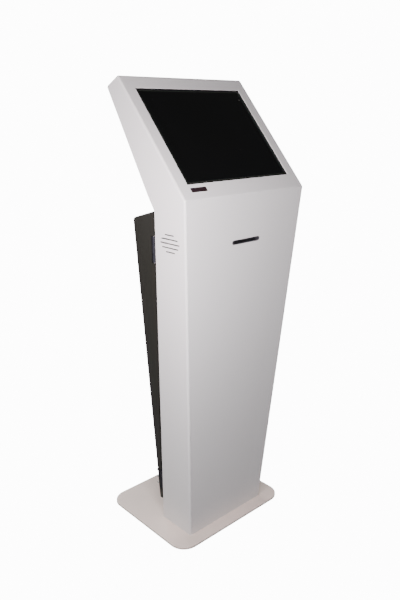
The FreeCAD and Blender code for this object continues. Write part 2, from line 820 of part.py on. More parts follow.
fan_cup = lathe("fan_cup", [
    ("2 + running", "-fan_depth + 2 + gap"),
    ("fan_hub - 1", "-fan_depth + 2 + gap"),
    ("fan_hub - 1", "-3"),
    ("0", "-3"),
    ("0", "12 + gap - fan_depth"),
    ("2 + running", "12 + gap - fan_depth"),
], "back", ("0", "fan_down", "0"))
blades = []
for n in range(SIZES["fan_blades"]):
    blade = doc.addObject("Part::Box", f"fan_blade{n}")
    blade.setExpression("Length", bound("fan_bore - fan_hub"))
    blade.setExpression("Width", "1.4")
    blade.setExpression("Height", "20")
    place(blade, ("0", "fan_down", "-fan_depth / 2"), "back",
          [(TURN_Z, f"{n} * 360 / fan_blades"), (TURN_X, "38")])
    blade_shift = f" * placement(vector(fan_hub - 2; -0.7; -9); rotation({TURN_Z}; 0))"
    blade.setExpression("Placement", dict(blade.ExpressionEngine)["Placement"] + bound(blade_shift))
    blades.append(blade)
node(fuse("fan_rotor", [fan_cup, *blades]), "fan_rotor")

# ---------------------------------------------------------------------------- touch screen

def slab(name, width, height, low, high, corner="3"):
    """A flat piece centred on the screen, between two depths behind the bezel."""
    return prism(name, f"-({high})", f"-({low})", [rectangle(
        around("0", width), around("screen_mid", height), corner)], frame="bezel")


gasket = slab("monitor_gasket", "opening_width + 2 * glass_border", "opening_height + 2 * glass_border",
              "skin", "glass_front")
pocket(gasket, "-glass_front", "-skin", [rectangle(
    around("0", "opening_width + 2"), around("screen_mid", "opening_height + 2"))])
node(gasket, "monitor_gasket")
node(slab("touch_glass", "opening_width + 2 * glass_border", "opening_height + 2 * glass_border",
          "glass_front", "glass_back"), "touch_glass")
node(slab("lcd_panel", "panel_width", "panel_height", "glass_back", "glass_back + panel_thick", "1"),
     "lcd_panel")
chassis = slab("monitor_chassis", "2 * chassis_half", "2 * chassis_up", "glass_back + 1", "chassis_back", "2")
pocket(chassis, "chassis_wall - chassis_back", "-glass_back - 1", [rectangle(
    around("0", "2 * (chassis_half - chassis_wall)"), around("screen_mid", "2 * (chassis_up - chassis_wall)"),
    "1")])
pad(chassis, "chassis_wall - chassis_back", "-glass_back - panel_thick", [
    rectangle(around(f"{side} * panel_width * 0.35", "8"), around("screen_mid", "panel_height * 0.8"))
    for side in (-1, 1)])
node(chassis, "monitor_chassis")

board = slab("monitor_board", "board_width", "board_height", "chassis_back + board_gap",
             "chassis_back + board_gap + circuit_board", "2")
pad(board, "-chassis_back - board_gap", "-chassis_back", circles=[
    (f"{side}(board_width / 2 - 6)", f"screen_mid {sign} (board_height / 2 - 6)", "3")
    for side in ("-", "") for sign in "+-"])
for x, y, width, height, tall in ((-40, 10, 30, 30, 4), (30, -20, 22, 22, 6), (20, 25, 40, 14, 8)):
    pad(board, f"-chassis_back - board_gap - circuit_board - {tall}", "-chassis_back - board_gap - circuit_board",
        [rectangle(around(x, width), around(f"screen_mid + {y}", height))])
node(board, "monitor_board")
board_cover = slab("monitor_board_cover", "board_width + 20", "board_height + 20", "chassis_back",
                   "chassis_back + board_cover_depth", "4")
pocket(board_cover, "1 - chassis_back - board_cover_depth", "-chassis_back", [rectangle(
    around("0", "board_width + 18"), around("screen_mid", "board_height + 18"), "3")])
node(board_cover, "monitor_board_cover")

brackets = []
for side, sign in (("left", "-"), ("right", "")):
    near = f"{sign}chassis_half"
    wall = f"{sign}(chassis_half + bracket_sheet)"
    foot = f"{sign}(chassis_half + bracket_foot)"
    span = around("screen_mid", "bracket_length")
    pair = (lambda a, b: (b, a)) if sign else (lambda a, b: (a, b))
    leg = block(f"bracket_leg_{side}", pair(near, wall), span, ("-chassis_back + 6", "-skin"), "bezel")
    sole = block(f"bracket_sole_{side}", pair(near, foot), span, ("-skin - bracket_sheet", "-skin"), "bezel")
    holes = bores(f"bracket_{side}", [spot for spot in stud_spots if spot[0].startswith("-") == bool(sign)],
                  "bezel", "stud / 2 + fit", ("-skin - 2 * bracket_sheet", "-skin"))
    brackets.append(cut(f"monitor_bracket_{side}", fuse(f"bracket_{side}", [leg, sole]), holes))
node(group("monitor_brackets", brackets), "monitor_brackets")

nuts = []
for n, (x, y) in enumerate(stud_spots):
    seat = "-skin - bracket_sheet"
    nut_block = hexagon(f"monitor_nut_block{n}", "nut_flats", (f"{seat} - nut_height", seat), x, y, "bezel")
    nut_bore = rod(f"monitor_nut_bore{n}", "stud / 2 + running", (f"{seat} - nut_height - 1", f"{seat} + 1"),
                   x, y, frame="bezel")
    nuts.append(cut(f"monitor_nut{n}", nut_block, [nut_bore]))
node(group("monitor_nuts", nuts), "monitor_nuts")

# smoked window and the presence sensor behind it
window = prism("sensor_window", "-skin", "0", [rectangle(
    around("-window_x", "window_length - 2 * fit"), around("window_up", "window_height - 2 * fit"),
    "window_round - fit")], frame="bezel")
pad(window, "-skin - window_rim", "-skin", [rectangle(
    around("-window_x", "window_length + 4"), around("window_up", "window_height + 2"), "window_round")])
node(window, "sensor_window")
sensor = prism("sensor_board", "-skin - window_rim - 3", "-skin - window_rim - 2", [rectangle(
    around("-window_x", "sensor_length"), around("window_up - 5", "sensor_height"), "1")], frame="bezel")
pad(sensor, "-skin - window_rim - 2", "-skin - window_rim", [
    rectangle(around("-window_x", "10"), around("window_up - 5", "6")),
    rectangle(around("-window_x - 15", "4"), around("window_up - 5", "6")),
    rectangle(around("-window_x + 15", "4"), around("window_up - 5", "6")),
])
node(sensor, "sensor_board")

# ----------------------------------------------------------------------------- ticket slot

mouth = prism("ticket_mouth", "0", "skin + mouth_proud", [rectangle(
    around("0", "mouth_width"), around("0", "mouth_height"), "mouth_height * 0.49")], frame="printer")
pad(mouth, "-2", "0", [rectangle(around("0", "mouth_width + 2 * mouth_flange"),
                                 around("0", "mouth_height + 2 * mouth_flange"), "4")])
pad(mouth, "-mouth_duct", "-2", [rectangle(around("0", "mouth_width"), around("0", "mouth_height"), "2")])
pocket(mouth, "-mouth_duct", "skin + mouth_proud", [rectangle(
    around("0", "paper_gate_width"), around("0", "paper_gate_height"), "1")])
node(mouth, "ticket_mouth")

# --------------------------------------------------------------------------------- printer

shelf_form = fuse("shelf_form", [
    block("shelf_deck", ("-head_half", "head_half"), ("-frame_drop - shelf_sheet", "-frame_drop"),
          ("-shelf_depth", "0"), "printer"),
    block("shelf_front_lip", ("-head_half", "head_half"), ("-frame_drop - shelf_lip", "-frame_drop"),
          ("-shelf_sheet", "0"), "printer"),
    block("shelf_rear_lip", ("-head_half", "head_half"), ("-frame_drop - shelf_lip", "-frame_drop"),
          ("-shelf_depth", "shelf_sheet - shelf_depth"), "printer"),
])
node(common("printer_shelf", shelf_form, shell_hollow), "printer_shelf")

frame_bed = block("frame_bed", ("-frame_outer", "frame_outer"), ("-frame_drop", "frame_sheet - frame_drop"),
                  ("-frame_far", "-frame_near"), "printer")
frame_sides = []
for side, (low, high) in (("left", ("-frame_outer", "-frame_half")), ("right", ("frame_half", "frame_outer"))):
    cheek = prism(f"frame_{side}", low, high, [[
        ("-frame_drop", "-frame_near"),
        ("frame_top", "-frame_near", "8"),
        ("frame_top", "-head_pivot_far - 10", "6"),
        ("roll_low", "-head_pivot_far - 24", "8"),
        ("roll_low", "-frame_far", "8"),
        ("-frame_drop", "-frame_far"),
    ]], frame="printer", turns=[(TURN_Y, "90"), (TURN_Z, "90")])
    frame_sides.append(cheek)
frame_bores = [
    rod("platen_bore", "platen_shaft / 2 + running", ("-frame_outer - 1", "frame_outer + 1"),
        y="-platen_low", z="-platen_far", axis="x", frame="printer"),
    rod("spindle_bore", "spindle / 2 - 2 + running", ("-frame_outer - 1", "frame_outer + 1"),
        y="-roll_low", z="-roll_far", axis="x", frame="printer"),
    rod("head_bore", "head_pivot / 2 + running", ("-frame_outer - 1", "frame_outer + 1"),
        y="head_pivot_up", z="-head_pivot_far", axis="x", frame="printer"),
    rod("motor_bore", "motor_shaft / 2 + 1", ("frame_half - 1", "frame_outer + 1"),
        y="-motor_low", z="-motor_far", axis="x", frame="printer"),
]
node(cut("printer_frame", fuse("frame_form", [frame_bed, *frame_sides]), frame_bores), "printer_frame")

cutter_form = block("cutter_form", ("-frame_half", "frame_half"), around("2", "cutter_height"),
                    ("-cutter_front - cutter_depth", "-cutter_front"), "printer")
cutter_gate = block("cutter_gate", around("0", "paper_gate_width"), around("0", "paper_gate_height"),
                    ("-cutter_front - cutter_depth - 1", "1 - cutter_front"), "printer")
cutter_slit = block("cutter_slit", around("0", "blade_width + 2 * gap"),
                    ("-paper_gate_height / 2 - 4", "paper_gate_height / 2 + blade_height + 2 * gap"),
                    around("-cutter_mid", "blade_thick + 2 * gap"), "printer")
node(cut("cutter_housing", cutter_form, [cutter_gate, cutter_slit]), "cutter_housing")
node(prism("cutter_blade", "-cutter_mid - blade_thick / 2", "-cutter_mid + blade_thick / 2", [[
    ("-blade_width / 2", "paper_gate_height / 2 + gap"),
    ("0", "paper_gate_height / 2 + gap + 2"),
    ("blade_width / 2", "paper_gate_height / 2 + gap"),
    ("blade_width / 2", "paper_gate_height / 2 + gap + blade_height - 1"),
    ("-blade_width / 2", "paper_gate_height / 2 + gap + blade_height - 1"),
]], frame="printer"), "cutter_blade")

platen_tyre = rod("platen_tyre", "platen_radius", around("0", "platen_width"),
                  y="-platen_low", z="-platen_far", axis="x", frame="printer")
platen_axle = rod("platen_axle", "platen_shaft / 2", ("-frame_outer - 3", "gear_side + gear_width + 1"),
                  y="-platen_low", z="-platen_far", axis="x", frame="printer")
node(fuse("platen_roller", [platen_tyre, platen_axle]), "platen_roller")


def gear(name, teeth, y, z, turn, bore):
    """A spur gear on the printer's right cheek, its first tooth turned to an angle."""
    made = body(name, ("gear_side", y, z), "printer", [(TURN_Y, "90"), (TURN_Z, turn)])
    pitch_radius = f"gear_module * {teeth} / 2"
    root = f"({pitch_radius} - 1.15 * gear_module)"
    tip = f"({pitch_radius} + 0.7 * gear_module)"
    pad(made, "0", "gear_width", circles=[("0", "0", root)])
    tooth = pad(made, "0", "gear_width", [[
        (f"{root} - 0.3 * gear_module", "-1.0 * gear_module"),
        (f"{tip}", "-0.38 * gear_module"),
        (f"{tip}", "0.38 * gear_module"),
        (f"{root} - 0.3 * gear_module", "1.0 * gear_module"),
    ]])
    ring = feature(made, "PolarPattern", Originals=[tooth], Axis=(made.Origin.OriginFeatures[2], [""]),
                   Angle="360", Occurrences=teeth)
    made.Tip = ring
    if bore:
        pocket(made, "0", "gear_width", circles=[("0", "0", bore)])
    return made


node(gear("platen_gear", "platen_teeth", "-platen_low", "-platen_far", "180 deg + gear_turn",
          "platen_shaft / 2"), "platen_gear")
pinion_wheel = gear("pinion_wheel", "pinion_teeth", "-motor_low", "-motor_far",
                    "gear_turn + 180 deg / pinion_teeth", None)
pinion_axle = rod("pinion_axle", "motor_shaft / 2", ("frame_half - motor_length / 2", "gear_side + 1"),
                  y="-motor_low", z="-motor_far", axis="x", frame="printer")
node(fuse("motor_pinion", [pinion_wheel, pinion_axle]), "motor_pinion")
motor_can = block("motor_can", ("frame_half - motor_length", "frame_half"),
                  around("-motor_low", "motor_side"), around("-motor_far", "motor_side"), "printer")
motor_bearing = rod("motor_bearing", "motor_shaft / 2 + running",
                    ("frame_half - motor_length / 2 - 1", "frame_half + 1"),
                    y="-motor_low", z="-motor_far", axis="x", frame="printer")
node(cut("feed_motor", motor_can, [motor_bearing]), "feed_motor")

print_bar = block("print_bar", around("0", "print_head_width"), ("gap", "8"),
                  ("-platen_far - 9", "-platen_far + 9"), "printer")
print_sink = block("print_sink", around("0", "print_head_width"), ("8", "18"),
                   ("-head_pivot_far - 4", "-platen_far + 9"), "printer")
print_pivot = rod("print_pivot", "head_pivot / 2", ("-frame_outer - 7", "frame_outer + 2"),
                  y="head_pivot_up", z="-head_pivot_far", axis="x", frame="printer")
node(fuse("print_head", [print_bar, print_sink, print_pivot]), "print_head")

lever_arm = prism("lever_arm", "-frame_outer - 5", "-frame_outer - 1", [[
    ("-5", "-6", "3"),
    ("5", "-6", "3"),
    ("4", "lever_length", "3.5"),
    ("-4", "lever_length", "3.5"),
]], frame="printer", at=("0", "head_pivot_up", "-head_pivot_far"), turns=[(TURN_Y, "90"), (TURN_Z, "0")])
lever_pad = block("lever_pad", ("-frame_outer - 14", "-frame_outer - 5"),
                  ("head_pivot_up + lever_length - 8", "head_pivot_up + lever_length - 3"),
                  ("-head_pivot_far - 4", "-head_pivot_far + 4"), "printer")
lever_bore = rod("lever_bore", "head_pivot / 2 + running", ("-frame_outer - 20", "-frame_outer"),
                 y="head_pivot_up", z="-head_pivot_far", axis="x", frame="printer")
node(cut("head_lever", fuse("lever_form", [lever_arm, lever_pad]), [lever_bore]), "head_lever")

spindle_rod = rod("spindle_rod", "spindle / 2", ("-frame_half", "frame_half"),
                  y="-roll_low", z="-roll_far", axis="x", frame="printer")
spindle_ends = rod("spindle_ends", "spindle / 2 - 2", ("-frame_outer", "frame_outer"),
                   y="-roll_low", z="-roll_far", axis="x", frame="printer")
node(fuse("roll_spindle", [spindle_rod, spindle_ends]), "roll_spindle")
roll_form = rod("roll_form", "roll_radius", around("0", "roll_width"),
                y="-roll_low", z="-roll_far", axis="x", frame="printer")
roll_bore = rod("roll_bore", "spindle / 2 + running", around("0", "roll_width + 2"),
                y="-roll_low", z="-roll_far", axis="x", frame="printer")
node(cut("paper_roll", roll_form, [roll_bore]), "paper_roll")

printer_board_sheet = block("printer_board_sheet", ("-frame_outer - 6", "-frame_outer - 4.4"),
                            ("-frame_drop + 4", "-roll_low - 10"), ("-frame_far + 6", "-platen_far - 8"),
                            "printer")
printer_board_posts = [
    rod(f"printer_post{n}", "2.5", ("-frame_outer - 4.4", "-frame_outer"), y=y, z=z, axis="x", frame="printer")
    for n, (y, z) in enumerate(((y, z) for y in ("-frame_drop + 8", "-roll_low - 14")
                                for z in ("-frame_far + 10", "-platen_far - 12")))]
button_box = block("button_box", ("-frame_outer - 11", "-frame_outer - 6"),
                   around("-roll_low - 18", "9"), around("-roll_far", "9"), "printer")
button_well = rod("button_well", "feed_button / 2 + running", ("-frame_outer - 12", "-frame_outer - 7"),
                  y="-roll_low - 18", z="-roll_far", axis="x", frame="printer")
node(cut("printer_board", fuse("printer_board_form", [
    printer_board_sheet, *printer_board_posts, button_box]), [button_well]), "printer_board")
node(rod("feed_button", "feed_button / 2", ("-frame_outer - 13.5", "-frame_outer - 7 - button_travel - gap"),
         y="-roll_low - 18", z="-roll_far", axis="x", frame="printer"), "feed_button")

# ------------------------------------------------------------------------- equipment panel

node(fuse("equipment_panel", [
    block("panel_deck", ("-panel_half", "panel_half"), ("panel_low", "panel_high"),
          ("-panel_back", "-skin - panel_stand"), "front"),
    *[block(f"panel_leg_{side}", span, ("panel_low", "panel_high"), ("-panel_back", "-skin"), "front")
      for side, span in (("left", ("-panel_half", "panel_sheet - panel_half")),
                         ("right", ("panel_half - panel_sheet", "panel_half")))],
]), "equipment_panel")

pc_span = ("pc_low", "pc_low + pc_height")
pc_case = block("pc_case_form", around("0", "pc_width"), pc_span, ("-pc_back", "-panel_back"), "front")
pc_space = block("pc_space", around("0", "pc_width - 2 * pc_wall"),
                 ("pc_low + pc_wall", "pc_low + pc_height - pc_wall"),
                 ("-pc_back - 1", "-panel_back - pc_wall"), "front")
pc_well = rod("pc_well", "power_button / 2 + running",
              ("pc_low + pc_height - 2 * pc_wall", "pc_low + pc_height + 1"),
              x="pc_width / 3", z="-panel_back - pc_depth / 2", axis="y", frame="front")
node(cut("pc_case", pc_case, [pc_space, pc_well]), "pc_case")
pc_fins = []
fin_count = int(value("(pc_width - 8) / fin_pitch"))
for n in range(fin_count):
    middle = f"({n} - {(fin_count - 1) / 2}) * fin_pitch"
    pc_fins.append(block(f"pc_fin{n}", around(middle, "fin_thick"), pc_span,
                         ("-pc_back - 3 - fin_height", "-pc_back - 3"), "front"))
pc_lid = block("pc_lid", around("0", "pc_width"), pc_span, ("-pc_back - 3", "-pc_back"), "front")
node(fuse("pc_cover", [pc_lid, *pc_fins]), "pc_cover")
pc_board = prism("pc_board", "-panel_back - pc_wall - 6 - circuit_board", "-panel_back - pc_wall - 6", [
    rectangle(around("0", "pc_width - 14"), ("pc_low + 8", "pc_low + pc_height - 24"), "2")], frame="front")
pad(pc_board, "-panel_back - pc_wall - 6", "-panel_back - pc_wall", circles=[
    (f"{side}(pc_width / 2 - 12)", y, "3.5") for side in ("-", "")
    for y in ("pc_low + 14", "pc_low + pc_height - 30")])
pad(pc_board, "-pc_back", "-panel_back - pc_wall - 6 - circuit_board", [
    rectangle(around("0", "40"), around("pc_low + pc_height / 2", "40"))])
pad(pc_board, "-panel_back - pc_wall - 20", "-panel_back - pc_wall - 6 - circuit_board", [
    rectangle(around(f"{x}", "16"), ("pc_low + 8", "pc_low + 28")) for x in (-50, -25, 0, 25, 50)])
node(pc_board, "pc_board")
node(rod("pc_power_button", "power_button / 2",
         ("pc_low + pc_height - 3 * pc_wall", "pc_low + pc_height + 2.5"),
         x="pc_width / 3", z="-panel_back - pc_depth / 2", axis="y", frame="front"), "pc_power_button")

supply = prism("power_supply", "-supply_back", "-panel_back", [rectangle(
    around("0", "supply_width"), ("supply_low", "supply_low + supply_height"), "2")], frame="front")
pocket(supply, "-supply_back", "-supply_back + 20", [rectangle(
    around("0", "supply_width - 4"), ("supply_low - 1", "supply_low + 18"))])
supply_vent = pocket(supply, "-supply_back", "-supply_back + 1", [rectangle(
    around("-30", "10"), around("supply_low + 34", "4"), "1.9")])
repeat(supply, supply_vent, (5, "15"), (12, "9"))
node(supply, "power_supply")
terminals = prism("terminal_block", "-supply_back + 6", "-supply_back + 20", [rectangle(
    around("0", "supply_width - 12"), ("supply_low + 3", "supply_low + 18"))], frame="front")
pocket(terminals, "-supply_back + 6", "-supply_back + 9", [
    rectangle(around(f"({n} - 3) * 11", "8"), ("supply_low + 5", "supply_low + 16")) for n in range(7)])
node(terminals, "terminal_block")

# ------------------------------------------------------------------ mains inlet and switch

inlet_mid = ("-inlet_x", "-inlet_up")
inlet = prism("power_inlet", "0", "2", [rectangle(
    around(inlet_mid[0], "inlet_width + 4"), around(inlet_mid[1], "inlet_height + 4.5"), "3")], frame="rear")
pad(inlet, "-inlet_body", "0", [rectangle(around(inlet_mid[0], "inlet_width - 2 * fit"),
                                  around(inlet_mid[1], "inlet_height - 2 * fit"), "2")])
pocket(inlet, "-14", "2", [rectangle(around(inlet_mid[0], "inlet_width - 3"),
                                     around(inlet_mid[1], "inlet_height - 3.6"), "4")])
pad(inlet, "-14", "-5", [
    rectangle(around(f"-inlet_x + {x}", "2"), around(f"-inlet_up + {y}", "4"))
    for x, y in ((-7, 2), (0, -2), (7, 2))])
node(inlet, "power_inlet")

switch_mid = ("switch_x", "-inlet_up")
switch_frame = prism("rocker_frame", "0", "1.6", [rectangle(
    around(switch_mid[0], "switch_width + 2.4"), around(switch_mid[1], "switch_height + 2.4"), "2")], frame="rear")
pad(switch_frame, "-16", "0", [rectangle(around(switch_mid[0], "switch_width - 2 * fit"),
                                         around(switch_mid[1], "switch_height - 2 * fit"))])
pocket(switch_frame, "-12", "1.6", [rectangle(around(switch_mid[0], "switch_width - 2"),
                                              around(switch_mid[1], "switch_height - 2.4"))])
switch_pivot = rod("switch_pivot_bore", "1 + running", around("-inlet_up", "switch_height - 1"),
                   x="switch_x", z="-3", axis="y", frame="rear")
node(cut("rocker_housing", switch_frame, [switch_pivot]), "rocker_housing")
rocker_key = prism("rocker_key", "-switch_height / 2 + 1.6", "switch_height / 2 - 1.6", [[
    ("-switch_width / 2 + 2", "-3"),
    ("switch_width / 2 - 2", "-3"),
    ("switch_width / 2 - 2", "5.6", "0.6"),
    ("0", "4.4"),
    ("2 - switch_width / 2", "5.6", "0.6"),
]], frame="rear", at=("switch_x", "-inlet_up", "-3"), turns=[(TURN_X, "90"), (TURN_Z, "8")])
rocker_pin = rod("rocker_pin", "1", around("-inlet_up", "switch_height - 1"),
                 x="switch_x", z="-3", axis="y", frame="rear")
node(fuse("rocker", [rocker_key, rocker_pin]), "rocker")

# ------------------------------------------------------------------------------- rear door

door_form = wedge("door_form", [
    ("door_heel_y + door_shift", "door_foot"),
    ("door_front_y", "door_front_z"),
    ("crown_y", "crown_z"),
    ("door_rear_y", "door_foot"),
])
round_edges(door_form, lambda edge: runs_sideways(edge) and is_level(edge, "crown_z"), "door_crown")
round_sides(door_form, "bend", lambda normal: normal.y < -0.9)
door_hollow = hollow_of("door_hollow", door_form, "door_sheet")
door_window_cut = prism("door_window_cut", "-door_heel_y - 10", "-nape_y + 30", [[
    (f"-{flank('door_foot')} + door_lip", "door_foot + door_lip"),
    (f"{flank('door_foot')} - door_lip", "door_foot + door_lip"),
    (f"{flank('door_front_z')} - door_lip", "door_front_z - door_lip"),
    (f"-{flank('door_front_z')} + door_lip", "door_front_z - door_lip"),
]], plane="XZ")
door_mouth = common("door_mouth", door_window_cut, block(
    "door_mouth_slab", ("-head_half", "head_half"), ("-2 * column_height", "1"),
    ("door_gap - 2", "door_gap + door_sheet + 1"), "rear"))
hinge_levels = (("lower", "hinge_low"), ("upper", "hinge_high"))
hinge_notches = [
    block(f"hinge_notch_{level}", ("-2 * knuckle", "knuckle + 3"), ("-hinge_back", "knuckle + 1"),
          around(height, "hinge_length + 2 * gap + 2"), "hinge")
    for level, height in hinge_levels]
door_vent_cut = prism("door_vent_cut", "-3 * door_sheet", "door_sheet", [rectangle(
    around("-1.7 * vent_length", "0.7 * vent_length"), around("130", "vent_height"), "vent_height * 0.49")],
    frame="door")
repeat(door_vent_cut, door_vent_cut.Tip, (5, "0.85 * vent_length"), (8, "vent_pitch"))
lock_bore = rod("lock_bore", "lock_barrel / 2 + running", ("-3 * door_sheet", "door_sheet"),
                x="lock_x", y="lock_down", frame="door")
node(cut("rear_door", door_form, [door_hollow, door_mouth, *hinge_notches, door_vent_cut, lock_bore]),
     "rear_door")

frame_leaves, door_leaves, pins = [], [], []
for level, height in hinge_levels:
    low, high = around(height, "hinge_length")
    third = "hinge_length / 3"
    frame_knuckles = [
        rod(f"frame_knuckle_low_{level}", "knuckle", (low, f"{low} + {third}"), frame="hinge"),
        rod(f"frame_knuckle_high_{level}", "knuckle", (f"{high} - {third}", high), frame="hinge"),
    ]
    frame_tabs = [
        block(f"frame_tab_low_{level}", ("-1", "knuckle"), ("-hinge_back", "0"),
              (low, f"{low} + {third}"), "hinge"),
        block(f"frame_tab_high_{level}", ("-1", "knuckle"), ("-hinge_back", "0"),
              (f"{high} - {third}", high), "hinge"),
    ]
    frame_leaf = block(f"frame_leaf_plate_{level}", ("0", "hinge_leaf"),
                       ("-hinge_back", "hinge_sheet - hinge_back"), (low, high), "hinge")
    pin_bore = rod(f"frame_pin_bore_{level}", "hinge_pin / 2 + running", (f"{low} - 1", f"{high} + 1"),
                   frame="hinge")
    frame_form = cut(f"frame_leaf_form_{level}", fuse(f"frame_leaf_{level}", [
        *frame_knuckles, *frame_tabs, frame_leaf]), [pin_bore])
    frame_leaves.append(cut(f"hinge_frame_leaf_{level}", frame_form, [shell_form]))

    door_knuckle = rod(f"door_knuckle_{level}", "knuckle",
                       (f"{low} + {third} + gap", f"{high} - {third} - gap"), frame="hinge")
    door_tab = block(f"door_tab_{level}", ("door_sheet - knuckle", "door_sheet + hinge_sheet - knuckle"),
                     ("0", "knuckle + 2"), (f"{low} + {third} + gap", f"{high} - {third} - gap"), "hinge")
    door_leaf = block(f"door_leaf_plate_{level}", ("door_sheet - knuckle", "door_sheet + hinge_sheet - knuckle"),
                      ("knuckle + gap", "knuckle + hinge_leaf"), (low, high), "hinge")
    door_bore = rod(f"door_pin_bore_{level}", "hinge_pin / 2 + running", (f"{low} - 1", f"{high} + 1"),
                    frame="hinge")
    door_leaf_form = cut(f"door_leaf_form_{level}", fuse(f"door_leaf_{level}", [
        door_knuckle, door_tab, door_leaf]), [door_bore])
    door_leaves.append(common(f"hinge_door_leaf_{level}", door_leaf_form, fuse(f"door_leaf_room_{level}", [
        hollow_of(f"door_leaf_hollow_{level}", door_form, "door_sheet"),
        block(f"door_leaf_reach_{level}", ("-2 * knuckle", "2 * knuckle"), ("-hinge_back", "knuckle + gap"),
              (low, high), "hinge")])))
    stem = rod(f"pin_stem_{level}", "hinge_pin / 2", (low, high), frame="hinge")
    caps = [rod(f"pin_cap_low_{level}", "hinge_pin", (f"{low} - 1.2", low), frame="hinge"),
            rod(f"pin_cap_high_{level}", "hinge_pin", (high, f"{high} + 1.2"), frame="hinge")]
    pins.append(fuse(f"hinge_pin_{level}", [stem, *caps]))
node(group("hinge_frame_leaves", frame_leaves), "hinge_frame_leaves")
node(group("hinge_door_leaves", door_leaves), "hinge_door_leaves")
node(group("hinge_pins", pins), "hinge_pins")

# rubber buffers on the column's rear flange, which the closed door's lip rests against
buffers = []
for n, z in enumerate(("door_foot + 60", "(door_foot + nape_z) / 2", "nape_z - 70")):
    buffers.append(rod(f"door_buffer{n}", "4", ("0", "door_gap - gap"),
                       x=f"{flank(z)} - bend - 5", y=f"-({z} - plate_thick) / cos(rear_lean)", frame="rear"))
node(group("door_buffers", buffers), "door_buffers")

# cam lock: a barrel through the door's panel, and a plug whose cam turns behind the flange
lock_at = ("lock_x", "lock_down", "0")
lock_form = lathe("lock_form", [
    ("lock_plug / 2 + running", "2"),
    ("lock_plug / 2 + running", "gap - lock_reach + cam_sheet"),
    ("lock_barrel / 2", "gap - lock_reach + cam_sheet"),
    ("lock_barrel / 2", "0"),
    ("lock_rim / 2", "0"),
    ("lock_rim / 2", "2"),
], "door", lock_at)
node(lock_form, "lock_body")
lock_nut = hexagon("lock_nut_block", "lock_rim", ("-door_sheet - 4", "-door_sheet"), "lock_x", "lock_down", "door")
nut_hole = rod("lock_nut_bore", "lock_barrel / 2 + running", ("-door_sheet - 5", "0"), "lock_x", "lock_down",
               frame="door")
node(cut("lock_nut", lock_nut, [nut_hole]), "lock_nut")
plug = lathe("lock_plug_form", [
    ("0", "1.6"),
    ("lock_plug / 2", "1.6"),
    ("lock_plug / 2", "-lock_reach + cam_sheet"),
    ("0", "-lock_reach + cam_sheet"),
], "door", lock_at)
pocket(plug, "-6", "1.6", [rectangle(around("0", "1.4"), around("0", "7"))])
cam = prism("lock_cam", "-lock_reach", "-lock_reach + cam_sheet", [[
    ("-cam_width / 2", "-cam_width / 2", "5"),
    ("cam_width / 2", "-cam_width / 2", "5"),
    ("cam_width / 2", "cam_length", "4"),
    ("-cam_width / 2", "cam_length", "4"),
]], frame="door", at=lock_at)
node(fuse("lock_plug", [plug, cam]), "lock_plug")

# -------------------------------------------------------------------------------- speakers

baskets, cones = [], []
for side in ("left", "right"):
    seat = "-skin"
    baskets.append(lathe(f"speaker_{side}", [
        ("speaker_radius - 4", f"{seat}"),
        ("speaker_radius", f"{seat}"),
        ("speaker_radius", f"{seat} - 2.5"),
        ("speaker_radius - 3", f"{seat} - 2.5"),
        ("speaker_radius * 0.55", f"{seat} - speaker_depth * 0.6"),
        ("speaker_radius * 0.55", f"{seat} - speaker_depth"),
        ("0", f"{seat} - speaker_depth"),
        ("0", f"{seat} - speaker_depth * 0.6"),
        ("speaker_radius * 0.45", f"{seat} - speaker_depth * 0.6"),
        ("speaker_radius - 4.6", f"{seat} - 2.5"),
    ], side))
    cones.append(lathe(f"speaker_cone_{side}", [
        ("speaker_radius - 4.6", f"{seat} - 1"),
        ("speaker_radius - 4.6", f"{seat} - 1.8"),
        ("speaker_radius * 0.3", f"{seat} - speaker_depth * 0.5"),
        ("0", f"{seat} - speaker_depth * 0.42"),
        ("0", f"{seat} - speaker_depth * 0.4"),
        ("speaker_radius * 0.3", f"{seat} - speaker_depth * 0.46"),
    ], side))
node(group("speaker_baskets", baskets), "speaker_baskets")
node(group("speaker_cones", cones), "speaker_cones")

# ----------------------------------------------------------------------------------- leads

def lead(name, thickness, bend_radius, corners):
    """A round lead in the column's front frame, run straight between corners with a bend at each."""
    spots = [Vector(*(value(number) for number in corner)) for corner in corners]
    runs = []
    start = spots[0]
    for before, corner, after in zip(spots, spots[1:], spots[2:]):
        back = (before - corner).normalize()
        ahead = (after - corner).normalize()
        half = back.getAngle(ahead) / 2
        turn = value(bend_radius)
        reach = turn / math.tan(half)
        middle = (back + ahead).normalize() * (turn / math.sin(half) - turn)
        runs.append(Part.LineSegment(start, corner + back * reach))
        runs.append(Part.Arc(corner + back * reach, corner + middle, corner + ahead * reach))
        start = corner + ahead * reach
    runs.append(Part.LineSegment(start, spots[-1]))
    spine = Part.Wire([run.toShape() for run in runs])
    ring = Part.makeCircle(value(thickness) / 2, spots[0], spots[1] - spots[0])
    made = doc.addObject("Part::Feature", name)
    made.Shape = spine.makePipeShell([Part.Wire(ring)], True, True)
    return node(place(made, frame="front"), name)


def beside_front(x, y, z):
    """A point of the bezel's frame, given in the column's front frame."""
    return (x, f"fold_up + ({y}) * cos(tilt) + ({z}) * sin(tilt)", f"({z}) * cos(tilt) - ({y}) * sin(tilt)")


